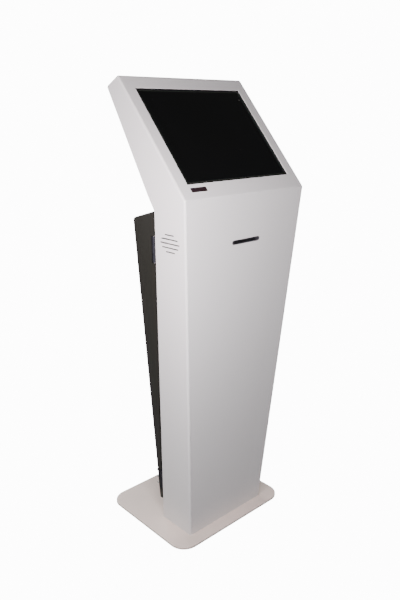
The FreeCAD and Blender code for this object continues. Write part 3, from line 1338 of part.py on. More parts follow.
lead("mains_lead", "mains_lead", "mains_turn", [
    ("-inlet_x", "inlet_high", "2 * gap - inlet_back"),
    ("-inlet_x", "inlet_high", "-supply_back - mains_lead * 0.65"),
    ("-inlet_x", "supply_low - 50", "-supply_back - mains_lead * 0.65"),
    ("-inlet_x", "supply_low - 25", "13 - supply_back"),
    ("-inlet_x", "supply_low + 3", "13 - supply_back"),
])
pc_top = "pc_low + pc_height"
behind_shelf = "-shelf_depth - skin - signal_lead"
lead("monitor_lead", "signal_lead", "signal_turn", [
    ("-75", f"{pc_top} + gap", "-pc_middle"),
    ("-75", f"{pc_top} + 55", "-pc_middle"),
    ("-panel_half", f"{pc_top} + 100", behind_shelf),
    ("-panel_half", "slot_up + 50", behind_shelf),
    beside_front("-60", "screen_mid - board_height / 2 - 65", "-chassis_back - board_cover_depth / 2"),
    beside_front("-60", "screen_mid - board_height / 2 - 10 - gap", "-chassis_back - board_cover_depth / 2"),
])
lead("printer_lead", "signal_lead", "signal_turn", [
    ("-frame_outer - 5.2", "slot_up - frame_drop + 4 - gap", f"{behind_shelf} - 10"),
    ("-frame_outer - 5.2", "slot_up - frame_drop - 60", f"{behind_shelf} - 10"),
    ("-40", f"{pc_top} + 40", "-pc_middle"),
    ("-40", f"{pc_top} + gap", "-pc_middle"),
])

# ------------------------------------------------------------------------------ checks and files

doc.recompute()
faults = [thing.Name for thing in doc.Objects if {"Invalid", "Error"} & set(thing.State)]
if faults:
    raise RuntimeError("failed to build: " + ", ".join(faults))
for name, thing in nodes.items():
    if thing.Shape.isNull() or not thing.Shape.isValid():
        raise RuntimeError(f"{name} has no sound shape")

os.makedirs("parts", exist_ok=True)
for name, thing in nodes.items():
    thing.Shape.exportStep(os.path.join("parts", name + ".step"))
print(len(nodes), "sub-parts written")
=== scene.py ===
import math

import bmesh
import bpy
from mathutils import Matrix, Vector


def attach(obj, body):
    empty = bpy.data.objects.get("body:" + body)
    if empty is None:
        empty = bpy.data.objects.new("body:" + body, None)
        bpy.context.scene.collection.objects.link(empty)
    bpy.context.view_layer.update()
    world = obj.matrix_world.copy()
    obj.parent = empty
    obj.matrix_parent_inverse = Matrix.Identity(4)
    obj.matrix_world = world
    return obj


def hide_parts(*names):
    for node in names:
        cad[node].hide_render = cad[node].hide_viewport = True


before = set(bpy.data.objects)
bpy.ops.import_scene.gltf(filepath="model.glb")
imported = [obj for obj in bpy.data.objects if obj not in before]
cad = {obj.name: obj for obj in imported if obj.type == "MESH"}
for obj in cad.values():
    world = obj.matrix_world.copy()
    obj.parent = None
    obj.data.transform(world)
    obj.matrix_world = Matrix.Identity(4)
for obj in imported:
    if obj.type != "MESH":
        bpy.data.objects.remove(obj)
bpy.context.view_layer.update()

# ---------------------------------------------------------------------------------------
# View, floor and light: the kiosk stands on a plain white studio floor, seen from its front
# left at about chest height. Four soft lamps stand at its front and left, and a large one
# behind it.
viewpoint = bpy.data.objects.new("viewpoint", bpy.data.cameras.new("viewpoint"))
viewpoint.data.lens = 36.871
viewpoint.data.sensor_width = 36.0
viewpoint.location = (-1.0593, -1.1885, 1.1001)
viewpoint.rotation_euler = (math.radians(72.982), math.radians(0.246), math.radians(-42.446))
bpy.context.scene.collection.objects.link(viewpoint)
bpy.context.scene.camera = viewpoint

floor_white, floor_radius = 0.32, 14.0
backdrop_glow = 13.0
studio_fill = 0.15


def seen_or_lit(tree, lit, seen, output):
    """Show one shader to the camera and light the object with another."""
    eye = tree.nodes.new("ShaderNodeLightPath")
    choice = tree.nodes.new("ShaderNodeMixShader")
    tree.links.new(eye.outputs["Is Camera Ray"], choice.inputs[0])
    tree.links.new(lit.outputs[0], choice.inputs[1])
    tree.links.new(seen.outputs[0], choice.inputs[2])
    tree.links.new(choice.outputs[0], output.inputs["Surface"])


studio_floor = bpy.data.objects.new("studio_floor", bpy.data.meshes.new("studio_floor"))
floor_mesh = bmesh.new()
bmesh.ops.create_circle(floor_mesh, cap_ends=True, segments=64, radius=floor_radius)
floor_mesh.to_mesh(studio_floor.data)
floor_mesh.free()
bpy.context.scene.collection.objects.link(studio_floor)
floor_paint = bpy.data.materials.new("floor_paint")
floor_paint.use_nodes = True
floor_tree = floor_paint.node_tree
floor_matt = floor_tree.nodes.new("ShaderNodeBsdfDiffuse")
floor_matt.inputs["Color"].default_value = (floor_white, floor_white, floor_white, 1)
floor_glow = floor_tree.nodes.new("ShaderNodeEmission")
floor_glow.inputs["Strength"].default_value = backdrop_glow
seen_or_lit(floor_tree, floor_matt, floor_glow, floor_tree.nodes["Material Output"])
studio_floor.data.materials.append(floor_paint)

studio_air = bpy.data.worlds.new("studio_air")
studio_air.use_nodes = True
air_tree = studio_air.node_tree
air_fill = air_tree.nodes["Background"]
air_fill.inputs["Color"].default_value = (0.98, 0.99, 1.0, 1)
air_fill.inputs["Strength"].default_value = studio_fill
air_glow = air_tree.nodes.new("ShaderNodeBackground")
air_glow.inputs["Color"].default_value = (1.0, 1.0, 1.0, 1)
air_glow.inputs["Strength"].default_value = backdrop_glow
seen_or_lit(air_tree, air_fill, air_glow, air_tree.nodes["World Output"])
bpy.context.scene.world = studio_air


def softbox(name, place, aim, size, power, tint=(1, 1, 1)):
    """A square studio lamp that points at a spot."""
    lamp = bpy.data.lights.new(name, "AREA")
    lamp.shape = "SQUARE"
    lamp.size = size
    lamp.energy = power
    lamp.color = tint
    holder = bpy.data.objects.new(name, lamp)
    holder.location = place
    holder.rotation_euler = (Vector(aim) - Vector(place)).to_track_quat("-Z", "Y").to_euler()
    bpy.context.scene.collection.objects.link(holder)


softbox("lamp_front", (-0.55, -0.75, 1.05), (0, -0.15, 0.85), 0.3, 10.4, (1.0, 0.94, 0.955))
softbox("lamp_side", (-0.7, -0.35, 0.9), (-0.1, -0.1, 0.8), 0.3, 7.4, (1.0, 0.86, 0.9))
softbox("lamp_left", (-1.6, 0.3, 0.9), (0, 0, 0.7), 0.8, 7.7, (0.9, 1.0, 0.94))
softbox("lamp_low", (-0.45, -0.6, 0.7), (0, -0.15, 0.7), 0.3, 1.1, (0.85, 1.0, 1.0))
softbox("lamp_rear", (0.5, 2.2, 1.15), (0, 0, 0.75), 1.4, 40)

# ---------------------------------------------------------------------------------------
# Base plate: 6 mm steel, laser cut with rounded corners and powder coated in a pale warm
# grey. It lies flat on the floor. A rubber grommet lines its cable hole inside the foot, and
# four hexagon-headed bolts hold the column's foot down.


def group_of(name, inputs, outputs):
    """An empty shader group with named number inputs and typed outputs."""
    group = bpy.data.node_groups.new(name, "ShaderNodeTree")
    for label, number in inputs:
        socket = group.interface.new_socket(label, in_out="INPUT", socket_type="NodeSocketFloat")
        socket.default_value = number
    for label, kind in outputs:
        group.interface.new_socket(label, in_out="OUTPUT", socket_type="NodeSocket" + kind)
    return group, group.nodes.new("NodeGroupInput"), group.nodes.new("NodeGroupOutput")


def node_of(tree, kind, links=(), **settings):
    """A node with some sockets and properties set, and links into its inputs."""
    made = tree.nodes.new(kind)
    for name, setting in settings.items():
        setattr(made, name, setting)
    for socket, source in links:
        if hasattr(source, "is_output"):
            tree.links.new(source, made.inputs[socket])
        else:
            made.inputs[socket].default_value = source
    return made


def fine_coat():
    """Group: the orange peel, faint cloudiness and speckle of sprayed and moulded surfaces."""
    group, given, result = group_of(
        "fine coat", (("Peel Scale", 900.0), ("Peel Depth", 0.00004), ("Cloud Scale", 7.0)),
        (("Normal", "Vector"), ("Cloud", "Float"), ("Speck", "Float")))
    where = group.nodes.new("ShaderNodeTexCoord").outputs["Object"]
    peel = node_of(group, "ShaderNodeTexNoise", (("Vector", where), ("Scale", given.outputs["Peel Scale"]),
                                                 ("Detail", 3.0)))
    bump = node_of(group, "ShaderNodeBump", (("Height", peel.outputs["Fac"]), ("Strength", 0.6),
                                             ("Distance", given.outputs["Peel Depth"])))
    cloud = node_of(group, "ShaderNodeTexNoise", (("Vector", where), ("Scale", given.outputs["Cloud Scale"]),
                                                  ("Detail", 5.0)))
    speck = node_of(group, "ShaderNodeTexVoronoi", (
        ("Vector", where), ("Scale", given.outputs["Peel Scale"])))
    group.links.new(bump.outputs["Normal"], result.inputs["Normal"])
    group.links.new(cloud.outputs["Fac"], result.inputs["Cloud"])
    group.links.new(speck.outputs["Distance"], result.inputs["Speck"])
    return group


def used_marks():
    """Group: floor dirt that fades with height, and rubbed streaks from hands and cleaning."""
    group, given, result = group_of(
        "used marks", (("Soil Height", 0.25), ("Soil", 0.5), ("Scuff Scale", 60.0)),
        (("Soil", "Float"), ("Scuff", "Float")))
    where = group.nodes.new("ShaderNodeTexCoord").outputs["Object"]
    parts = node_of(group, "ShaderNodeSeparateXYZ", (("Vector", where),))
    low = node_of(group, "ShaderNodeMapRange", (
        ("Value", parts.outputs["Z"]), ("From Min", 0.0), ("From Max", given.outputs["Soil Height"]),
        ("To Min", 1.0), ("To Max", 0.0)))
    blotch = node_of(group, "ShaderNodeTexNoise", (("Vector", where), ("Scale", 18.0), ("Detail", 8.0)))
    patchy = node_of(group, "ShaderNodeMath", ((0, low.outputs["Result"]), (1, blotch.outputs["Fac"])),
                     operation="MULTIPLY")
    amount = node_of(group, "ShaderNodeMath", ((0, patchy.outputs["Value"]), (1, given.outputs["Soil"])),
                     operation="MULTIPLY")
    streak = node_of(group, "ShaderNodeMapping", (("Vector", where), ("Scale", (1.0, 1.0, 0.25))))
    scuff = node_of(group, "ShaderNodeTexNoise", (
        ("Vector", streak.outputs["Vector"]), ("Scale", given.outputs["Scuff Scale"]), ("Detail", 9.0),
        ("Roughness", 0.7)))
    narrow = node_of(group, "ShaderNodeMapRange", (("Value", scuff.outputs["Fac"]), ("From Min", 0.58),
                                                   ("From Max", 0.78)))
    group.links.new(amount.outputs["Value"], result.inputs["Soil"])
    group.links.new(narrow.outputs["Result"], result.inputs["Scuff"])
    return group


coat_group = fine_coat()
marks_group = used_marks()
floor_dust = (0.16, 0.14, 0.12)


def new_finish(name, metal=0.0, gloss=0.5, coat=0.0):
    """A material with its plain shader values set."""
    made = bpy.data.materials.new(name)
    made.use_nodes = True
    shader = made.node_tree.nodes["Principled BSDF"]
    shader.inputs["Metallic"].default_value = metal
    shader.inputs["Specular IOR Level"].default_value = gloss
    shader.inputs["Coat Weight"].default_value = coat
    shader.inputs["Coat Roughness"].default_value = 0.15
    return made, made.node_tree, shader


def mixed(tree, factor, first, second, way="MIX"):
    """Mix two colours by a factor."""
    mix = tree.nodes.new("ShaderNodeMix")
    mix.data_type = "RGBA"
    mix.blend_type = way
    for socket, source in (("Factor", factor), ("A", first), ("B", second)):
        if hasattr(source, "is_output"):
            tree.links.new(source, mix.inputs[socket])
        else:
            mix.inputs[socket].default_value = source if isinstance(source, float) else (*source, 1)
    return mix.outputs["Result"]


def coated(name, colour, shade, rough, peel=900.0, depth=0.00004, soil=0.0, soil_height=0.25, metal=0.0,
           coat=0.0, grain=0.0, gloss=0.5):
    """A sprayed, moulded or cast finish: two close colours, varied gloss and a fine surface."""
    uneven, rubbed_flat = 0.06, 0.1
    made, tree, shader = new_finish(name, metal, gloss, coat)
    surface = node_of(tree, "ShaderNodeGroup", node_tree=coat_group)
    surface.inputs["Peel Scale"].default_value = peel
    surface.inputs["Peel Depth"].default_value = depth
    marks = node_of(tree, "ShaderNodeGroup", node_tree=marks_group)
    marks.inputs["Soil"].default_value = soil
    marks.inputs["Soil Height"].default_value = soil_height
    tone = mixed(tree, surface.outputs["Cloud"], colour, shade)
    speckled = mixed(tree, surface.outputs["Speck"], tone, (1 - grain,) * 3, "MULTIPLY")
    grimy = mixed(tree, marks.outputs["Soil"], speckled, floor_dust)
    tree.links.new(grimy, shader.inputs["Base Color"])
    varied = node_of(tree, "ShaderNodeMapRange", (
        ("Value", surface.outputs["Cloud"]), ("From Min", 0.25), ("From Max", 0.75),
        ("To Min", max(0.02, rough - uneven)), ("To Max", min(1.0, rough + uneven))))
    rubbed = node_of(tree, "ShaderNodeMath", (
        (0, marks.outputs["Scuff"]), (1, rubbed_flat), (2, varied.outputs["Result"])),
        operation="MULTIPLY_ADD")
    tree.links.new(rubbed.outputs["Value"], shader.inputs["Roughness"])
    tree.links.new(surface.outputs["Normal"], shader.inputs["Normal"])
    return made


def rolled_metal():
    """Group: the fine drawn lines and the grain spangle of rolled, turned and plated metal."""
    group, given, result = group_of(
        "rolled metal", (("Line Scale", 900.0), ("Line Depth", 0.00001), ("Spangle Scale", 60.0)),
        (("Normal", "Vector"), ("Line", "Float"), ("Spangle", "Float")))
    where = group.nodes.new("ShaderNodeTexCoord").outputs["Object"]
    drawn = node_of(group, "ShaderNodeMapping", (("Vector", where), ("Scale", (1.0, 1.0, 0.04))))
    line = node_of(group, "ShaderNodeTexNoise", (
        ("Vector", drawn.outputs["Vector"]), ("Scale", given.outputs["Line Scale"]), ("Detail", 4.0)))
    bump = node_of(group, "ShaderNodeBump", (("Height", line.outputs["Fac"]), ("Strength", 0.5),
                                             ("Distance", given.outputs["Line Depth"])))
    spangle = node_of(group, "ShaderNodeTexVoronoi", (
        ("Vector", where), ("Scale", given.outputs["Spangle Scale"]), ("Randomness", 1.0)))
    flat = node_of(group, "ShaderNodeSeparateColor", (("Color", spangle.outputs["Color"]),))
    group.links.new(bump.outputs["Normal"], result.inputs["Normal"])
    group.links.new(line.outputs["Fac"], result.inputs["Line"])
    group.links.new(flat.outputs["Red"], result.inputs["Spangle"])
    return group


rolled_group = rolled_metal()


def metalled(name, colour, shade, rough, lines=900.0, depth=0.00001, spangle=60.0):
    """A bare or plated metal: drawn lines, grains of two close colours and uneven gloss."""
    grain_share, uneven = 0.4, 0.07
    made, tree, shader = new_finish(name, metal=1.0)
    surface = node_of(tree, "ShaderNodeGroup", node_tree=rolled_group)
    for label, number in (("Line Scale", lines), ("Line Depth", depth), ("Spangle Scale", spangle)):
        surface.inputs[label].default_value = number
    grains = node_of(tree, "ShaderNodeMath", ((0, surface.outputs["Spangle"]), (1, grain_share)),
                     operation="MULTIPLY")
    tree.links.new(mixed(tree, grains.outputs["Value"], colour, shade), shader.inputs["Base Color"])
    varied = node_of(tree, "ShaderNodeMapRange", (
        ("Value", surface.outputs["Line"]), ("From Min", 0.3), ("From Max", 0.7),
        ("To Min", max(0.03, rough - uneven)), ("To Max", rough + uneven)))
    tree.links.new(varied.outputs["Result"], shader.inputs["Roughness"])
    tree.links.new(surface.outputs["Normal"], shader.inputs["Normal"])
    return made


def finish(material, *names):
    """Give CAD nodes a material."""
    for name in names:
        cad[name].data.materials.clear()
        cad[name].data.materials.append(material)


finish(coated("plate_coat", (0.85, 0.735, 0.66), (0.80, 0.69, 0.62), 0.42, soil=0.2, soil_height=0.012,
              grain=0.04), "base_plate")
finish(coated("grommet_rubber", (0.02, 0.02, 0.02), (0.035, 0.034, 0.033), 0.7, peel=400, depth=0.0001),
       "cable_grommet", "door_buffers")
bright_steel = metalled("bright_steel", (0.62, 0.62, 0.63), (0.46, 0.46, 0.48), 0.26, lines=2400,
                        spangle=900)
finish(bright_steel, "foot_bolts")

# ---------------------------------------------------------------------------------------
# Column and head: one shell welded from five sheets of 2 mm steel, bent 5 to 6 mm round,
# ground flush along its seams and powder coated in a pale grey. The two side sheets get
# theirs with the speakers, with painted shade on their slots' cut edges.
shell_coat = coated("shell_coat", (0.79, 0.775, 0.78), (0.765, 0.75, 0.755), 0.38, soil=0.08,
                    soil_height=0.04, grain=0.03, coat=0.12)
finish(shell_coat, "front_skin", "rear_frame", "foot_frame")

# ---------------------------------------------------------------------------------------
# Rear cover of the head: a dark textured sheet with three columns of vent slots and a
# perforated patch over the fan. Six round-headed screws with a cross recess hold it.
dark_coat = coated("dark_coat", (0.0155, 0.0148, 0.0113), (0.0125, 0.0114, 0.0090), 0.5, peel=520,
                   depth=0.00018, grain=0.35, soil=0.15, soil_height=0.12)
finish(dark_coat, "head_rear_cover")
fan_plastic = coated("fan_plastic", (0.02, 0.02, 0.021), (0.03, 0.03, 0.03), 0.5, peel=700, depth=0.00008)
finish(fan_plastic, "fan_housing", "fan_rotor")


def tilted(origin, degrees, axis="X"):
    """The working frame of a face: its origin, turned about one axis of the room."""
    return Matrix.Translation(Vector(origin)) @ Matrix.Rotation(math.radians(degrees), 4, axis)


def mesh_of(name, form):
    """Turn a finished bmesh into a mesh whose faces point outwards."""
    bmesh.ops.remove_doubles(form, verts=form.verts, dist=1e-6)
    bmesh.ops.recalc_face_normals(form, faces=form.faces)
    mesh = bpy.data.meshes.new(name)
    form.to_mesh(mesh)
    form.free()
    return mesh


def ring_walls(form, rings):
    """Faces between neighbouring rings of vertices, where a ring of one is a pole."""
    corners = max(len(ring) for ring in rings)
    for first, second in zip(rings, rings[1:]):
        for n in range(corners):
            m = (n + 1) % corners
            face = (first[n % len(first)], first[m % len(first)], second[m % len(second)],
                    second[n % len(second)])
            form.faces.new(list(dict.fromkeys(face)))


def linked(name, mesh):
    """An object at the origin that holds a mesh."""
    made = bpy.data.objects.new(name, mesh)
    bpy.context.scene.collection.objects.link(made)
    return made


def sharp_smooth(mesh, degrees):
    """Shade a mesh smooth except across its sharp edges."""
    mesh.shade_smooth()
    mesh.set_sharp_from_angle(angle=math.radians(degrees))


def place_tree(name, inputs):
    """A node tree with a carrier's points, more named inputs, and one geometry output."""
    tree = bpy.data.node_groups.new(name, "GeometryNodeTree")
    for label, kind in (("Geometry", "Geometry"), *inputs, ("Seed", "Int"), ("Finish", "Material")):
        tree.interface.new_socket(label, in_out="INPUT", socket_type="NodeSocket" + kind)
    tree.interface.new_socket("Geometry", in_out="OUTPUT", socket_type="NodeSocketGeometry")
    return tree, tree.nodes.new("NodeGroupInput")


def turned_to_face(tree):
    """Nodes: the turn that each point's stored axes give."""
    axes = [node_of(tree, "GeometryNodeInputNamedAttribute", (("Name", label),), data_type="FLOAT_VECTOR")
            for label in ("facing", "upright")]
    return node_of(tree, "FunctionNodeAxesToRotation", (
        (0, axes[0].outputs["Attribute"]), (1, axes[1].outputs["Attribute"]))).outputs["Rotation"]


def made_real(tree, given, copies):
    """Nodes: turn the copies into one mesh in the given material, which ends the tree."""
    solid = node_of(tree, "GeometryNodeRealizeInstances", (("Geometry", copies.outputs["Instances"]),))
    painted = node_of(tree, "GeometryNodeSetMaterial", (
        ("Geometry", solid.outputs["Geometry"]), ("Material", given.outputs["Finish"])))
    node_of(tree, "NodeGroupOutput", (("Geometry", painted.outputs["Geometry"]),))


def set_out_tree():
    """Nodes: a copy of one part on each point, turned to its face, in a material."""
    tree, given = place_tree("set out", (("Part", "Object"), ("Size", "Float"), ("Spin", "Float")))
    part = node_of(tree, "GeometryNodeObjectInfo", (("Object", given.outputs["Part"]),))
    chance = node_of(tree, "FunctionNodeRandomValue", (
        (3, given.outputs["Spin"]), ("Seed", given.outputs["Seed"])), data_type="FLOAT")
    spin = node_of(tree, "FunctionNodeAxisAngleToRotation", (
        ("Axis", (0.0, 0.0, 1.0)), ("Angle", chance.outputs[1])))
    both = node_of(tree, "FunctionNodeRotateRotation", (
        ("Rotation", turned_to_face(tree)), ("Rotate By", spin.outputs["Rotation"])),
        rotation_space="LOCAL")
    copies = node_of(tree, "GeometryNodeInstanceOnPoints", (
        ("Points", given.outputs["Geometry"]), ("Instance", part.outputs["Geometry"]),
        ("Rotation", both.outputs["Rotation"]), ("Scale", given.outputs["Size"])))
    made_real(tree, given, copies)
    return tree


def settled(name, places, tree, settings, degrees=35):
    """Run a node tree on points at places, each a frame, and keep the result as a plain mesh."""
    carrier = bpy.data.meshes.new(name + "_places")
    carrier.from_pydata([place.translation for place in places], [], [])
    for label, column in (("facing", 2), ("upright", 0)):
        values = carrier.attributes.new(label, "FLOAT_VECTOR", "POINT")
        for entry, place in zip(values.data, places):
            entry.vector = place.to_3x3().col[column]
    holder = linked(name + "_carrier", carrier)
    modifier = holder.modifiers.new("tree", "NODES")
    modifier.node_group = tree
    for item in tree.interface.items_tree:
        if item.in_out == "INPUT" and item.name in settings:
            modifier[item.identifier] = settings[item.name]
    bpy.context.view_layer.update()
    evaluated = holder.evaluated_get(bpy.context.evaluated_depsgraph_get())
    mesh = bpy.data.meshes.new_from_object(evaluated)
    holder.modifiers.remove(modifier)
    bpy.data.objects.remove(holder)
    mesh.name = name
    sharp_smooth(mesh, degrees)
    return linked(name, mesh)


set_out = set_out_tree()


def spread(name, part, places, material, size=1.0, spin=0.0, seed=1):
    """Copies of a part at places, each a frame whose z is the part's own."""
    template = linked(name + "_part", part)
    made = settled(name, places, set_out, {"Part": template, "Size": size, "Spin": spin, "Seed": seed,
                                           "Finish": material})
    bpy.data.objects.remove(template)
    return made


def cross_screw(head, height, shank, length, flush=False):
    """A screw with a cross recess, its head resting on z = 0: domed, or flush and countersunk."""
    form = bmesh.new()
    corners = 40
    depth = 0.6 * height if not flush else 0.25 * head
    arm, width = 0.30 * head, 0.055 * head

    def cross(turn):
        """Reach of the cross recess in a direction."""
        turn = (turn + math.pi / 4) % (math.pi / 2) - math.pi / 4
        return min(arm / max(math.cos(turn), 0.1), max(width / max(abs(math.sin(turn)), 0.08), 0.11 * head))

    rings = []
    top = height if not flush else 0.02 * head
    rows = [("round", shank / 2, -length), ("round", shank / 2, -0.0002 if not flush else -0.28 * head),
            ("round", head / 2, -0.0002 if flush else 0.0),
            ("round", head / 2, 0.25 * height if not flush else 0.0),
            ("round", 0.47 * head, 0.55 * height if not flush else 0.0),
            ("round", 0.40 * head, 0.83 * top), ("round", 0.33 * head, 0.95 * top), ("cross", 1.0, top),
            ("cross", 0.62, top - depth)]
    for kind, reach, z in rows:
        ring = []
        for n in range(corners):
            turn = 2 * math.pi * n / corners
            out = reach if kind == "round" else reach * cross(turn)
            ring.append(form.verts.new((out * math.cos(turn), out * math.sin(turn), z)))
        rings.append(ring)
    form.faces.new(list(reversed(rings[0])))
    rings.append([form.verts.new((0, 0, top - depth))])
    ring_walls(form, rings)
    return mesh_of("cross_screw", form)


cover_sheet = 0.0015
screw_columns, screw_rows = (-0.186, 0.186), (0.014, 0.159, 0.304)
head_back = tilted((0, 0.074978, 1.158193), -120.9)
cover_screws = spread(
    "cover_cross_screws", cross_screw(head=0.008, height=0.0024, shank=0.004, length=0.0065),
    [head_back @ Matrix.Translation((x, y, cover_sheet)) for x in screw_columns for y in screw_rows],
    bright_steel, spin=1.5, seed=4)
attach(cover_screws, "cabinet")
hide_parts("cover_screws")

# ---------------------------------------------------------------------------------------
# Touch screen: black glass in a foam gasket, printed black outside the picture area, which
# shows as a faint line 6 mm inside the opening. A light sensor looks out of one corner.
# Behind it are the LCD panel, its zinc-plated chassis, and a board under a cover.
bezel_place, bezel_turn = (0, -0.199745, 0.919), 49.0
picture_half = (0.1632, 0.1302)
screen_middle = 0.1756
eye_at, eye_radius = (0.1542, 0.2804), 0.0017


def screen_glass():
    """Black glass with a faint line round the picture, the light sensor's eye and wiped smears."""
    made, tree, shader = new_finish("screen_glass", gloss=0.14)
    where = tree.nodes.new("ShaderNodeTexCoord").outputs["Object"]
    flat = node_of(tree, "ShaderNodeMapping", (
        ("Vector", where), ("Location", bezel_place), ("Rotation", (math.radians(bezel_turn), 0, 0))),
        vector_type="TEXTURE")
    parts = node_of(tree, "ShaderNodeSeparateXYZ", (("Vector", flat.outputs["Vector"]),))

    def maths(first, second, way):
        """Nodes: one operation on two numbers."""
        return node_of(tree, "ShaderNodeMath", ((0, first), (1, second)), operation=way).outputs["Value"]

    across = maths(maths(parts.outputs["X"], 0.0, "ABSOLUTE"), picture_half[0], "SUBTRACT")
    along = maths(maths(maths(parts.outputs["Y"], screen_middle, "SUBTRACT"), 0.0, "ABSOLUTE"),
                   picture_half[1], "SUBTRACT")
    outside = maths(across, along, "MAXIMUM")
    line = node_of(tree, "ShaderNodeMapRange", (
        ("Value", maths(outside, 0.0, "ABSOLUTE")), ("From Min", 0.0006), ("From Max", 0.0014),
        ("To Min", 1.0), ("To Max", 0.0)))
    ink = node_of(tree, "ShaderNodeMapRange", (("Value", outside), ("From Min", 0.0), ("From Max", 0.0004)))
    right = maths(parts.outputs["X"], eye_at[0], "SUBTRACT")
    up = maths(parts.outputs["Y"], eye_at[1], "SUBTRACT")
    reach = maths(maths(maths(right, right, "MULTIPLY"), maths(up, up, "MULTIPLY"), "ADD"), 0.5, "POWER")
    eye = node_of(tree, "ShaderNodeMapRange", (
        ("Value", reach), ("From Min", eye_radius), ("From Max", eye_radius * 1.3), ("To Min", 1.0),
        ("To Max", 0.0)))
    base = mixed(tree, ink.outputs["Result"], (0.0026, 0.0028, 0.0028), (0.0018, 0.0018, 0.0018))
    edged = mixed(tree, line.outputs["Result"], base, (0.022, 0.026, 0.022))
    tree.links.new(mixed(tree, eye.outputs["Result"], edged, (0.075, 0.075, 0.068)),
                   shader.inputs["Base Color"])
    smears = node_of(tree, "ShaderNodeTexNoise", (("Vector", where), ("Scale", 22.0), ("Detail", 6.0)))
    wiped = node_of(tree, "ShaderNodeMapRange", (
        ("Value", smears.outputs["Fac"]), ("From Min", 0.45), ("From Max", 0.75), ("To Min", 0.07),
        ("To Max", 0.16)))
    tree.links.new(wiped.outputs["Result"], shader.inputs["Roughness"])
    return made


finish(screen_glass(), "touch_glass")
finish(coated("panel_film", (0.012, 0.012, 0.014), (0.016, 0.016, 0.018), 0.3), "lcd_panel")
finish(coated("gasket_foam", (0.015, 0.015, 0.016), (0.03, 0.03, 0.03), 0.9, peel=1200, depth=0.0003),
       "monitor_gasket")
zinc_plate = metalled("zinc_plate", (0.60, 0.61, 0.62), (0.42, 0.43, 0.44), 0.36, lines=260, depth=0.00002,
                      spangle=85)
finish(zinc_plate, "monitor_chassis", "monitor_board_cover", "monitor_brackets")
finish(bright_steel, "monitor_nuts")


def circuit_lacquer():
    """Green lacquer over copper tracks, with a tinned pad at each track's corner."""
    made, tree, shader = new_finish("circuit_lacquer", coat=0.4)
    where = tree.nodes.new("ShaderNodeTexCoord").outputs["Object"]
    tracks = node_of(tree, "ShaderNodeTexVoronoi", (
        ("Vector", where), ("Scale", 260.0), ("Randomness", 0.65)), feature="DISTANCE_TO_EDGE")
    lane = node_of(tree, "ShaderNodeMapRange", (
        ("Value", tracks.outputs["Distance"]), ("From Min", 0.05), ("From Max", 0.11), ("To Min", 1.0),
        ("To Max", 0.0)))
    pads = node_of(tree, "ShaderNodeTexVoronoi", (("Vector", where), ("Scale", 330.0), ("Randomness", 0.4)))
    pad = node_of(tree, "ShaderNodeMapRange", (
        ("Value", pads.outputs["Distance"]), ("From Min", 0.16), ("From Max", 0.20), ("To Min", 1.0),
        ("To Max", 0.0)))
    lacquer = mixed(tree, lane.outputs["Result"], (0.008, 0.060, 0.024), (0.020, 0.130, 0.052))
    tree.links.new(mixed(tree, pad.outputs["Result"], lacquer, (0.45, 0.44, 0.40)),
                   shader.inputs["Base Color"])
    tree.links.new(pad.outputs["Result"], shader.inputs["Metallic"])
    rough = node_of(tree, "ShaderNodeMapRange", (("Value", lane.outputs["Result"]), ("To Min", 0.34),
                                                 ("To Max", 0.26)))
    tree.links.new(rough.outputs["Result"], shader.inputs["Roughness"])
    relief = node_of(tree, "ShaderNodeBump", (("Height", lane.outputs["Result"]), ("Distance", 0.00005)))
    tree.links.new(relief.outputs["Normal"], shader.inputs["Normal"])
    return made


board_lacquer = circuit_lacquer()
finish(board_lacquer, "monitor_board")

# ---------------------------------------------------------------------------------------
# Sensor window: smoked maroon plastic, moulded with a rim and pressed in from behind. The
# board of the presence sensor sits behind it.
finish(coated("smoked_plastic", (0.022, 0.012, 0.0145), (0.017, 0.009, 0.0115), 0.14, peel=300, depth=0.00001,
              gloss=0.25), "sensor_window")
finish(board_lacquer, "sensor_board")

# ---------------------------------------------------------------------------------------
# Ticket slot: a moulded black bezel with rounded ends, pushed through the front sheet from
# behind up to its flange. Its duct leads the ticket out from the cutter.
black_plastic = coated("black_plastic", (0.012, 0.012, 0.014), (0.020, 0.019, 0.021), 0.42, peel=800,
                       depth=0.00010)
finish(coated("mouth_plastic", (0.030, 0.029, 0.034), (0.038, 0.037, 0.042), 0.42, peel=800, depth=0.00010),
       "ticket_mouth")

# ---------------------------------------------------------------------------------------
# Ticket printer: a zinc-plated shelf and frame carry a thermal head over a rubber platen, its
# nylon gear and motor, a cutter, and the paper roll on a spindle. Its board is on the left.
finish(zinc_plate, "printer_shelf", "printer_frame")
finish(black_plastic, "cutter_housing", "head_lever", "feed_button")
finish(bright_steel, "cutter_blade", "motor_pinion")
finish(coated("platen_rubber", (0.018, 0.018, 0.019), (0.03, 0.03, 0.03), 0.6, peel=1500, depth=0.00003),
       "platen_roller")
finish(coated("gear_nylon", (0.70, 0.68, 0.60), (0.62, 0.60, 0.53), 0.45, peel=600), "platen_gear")
cast_aluminium = coated("cast_aluminium", (0.66, 0.67, 0.68), (0.52, 0.53, 0.54), 0.42, peel=700,
                        depth=0.00008, metal=1.0)
finish(cast_aluminium, "print_head", "feed_motor")
grey_plastic = coated("grey_plastic", (0.10, 0.105, 0.11), (0.13, 0.135, 0.14), 0.5, peel=700, depth=0.0001)
finish(grey_plastic, "roll_spindle")
finish(board_lacquer, "printer_board")

roll_axis = (0.0, -0.06847, 0.80781)
paper_ring = 0.0007


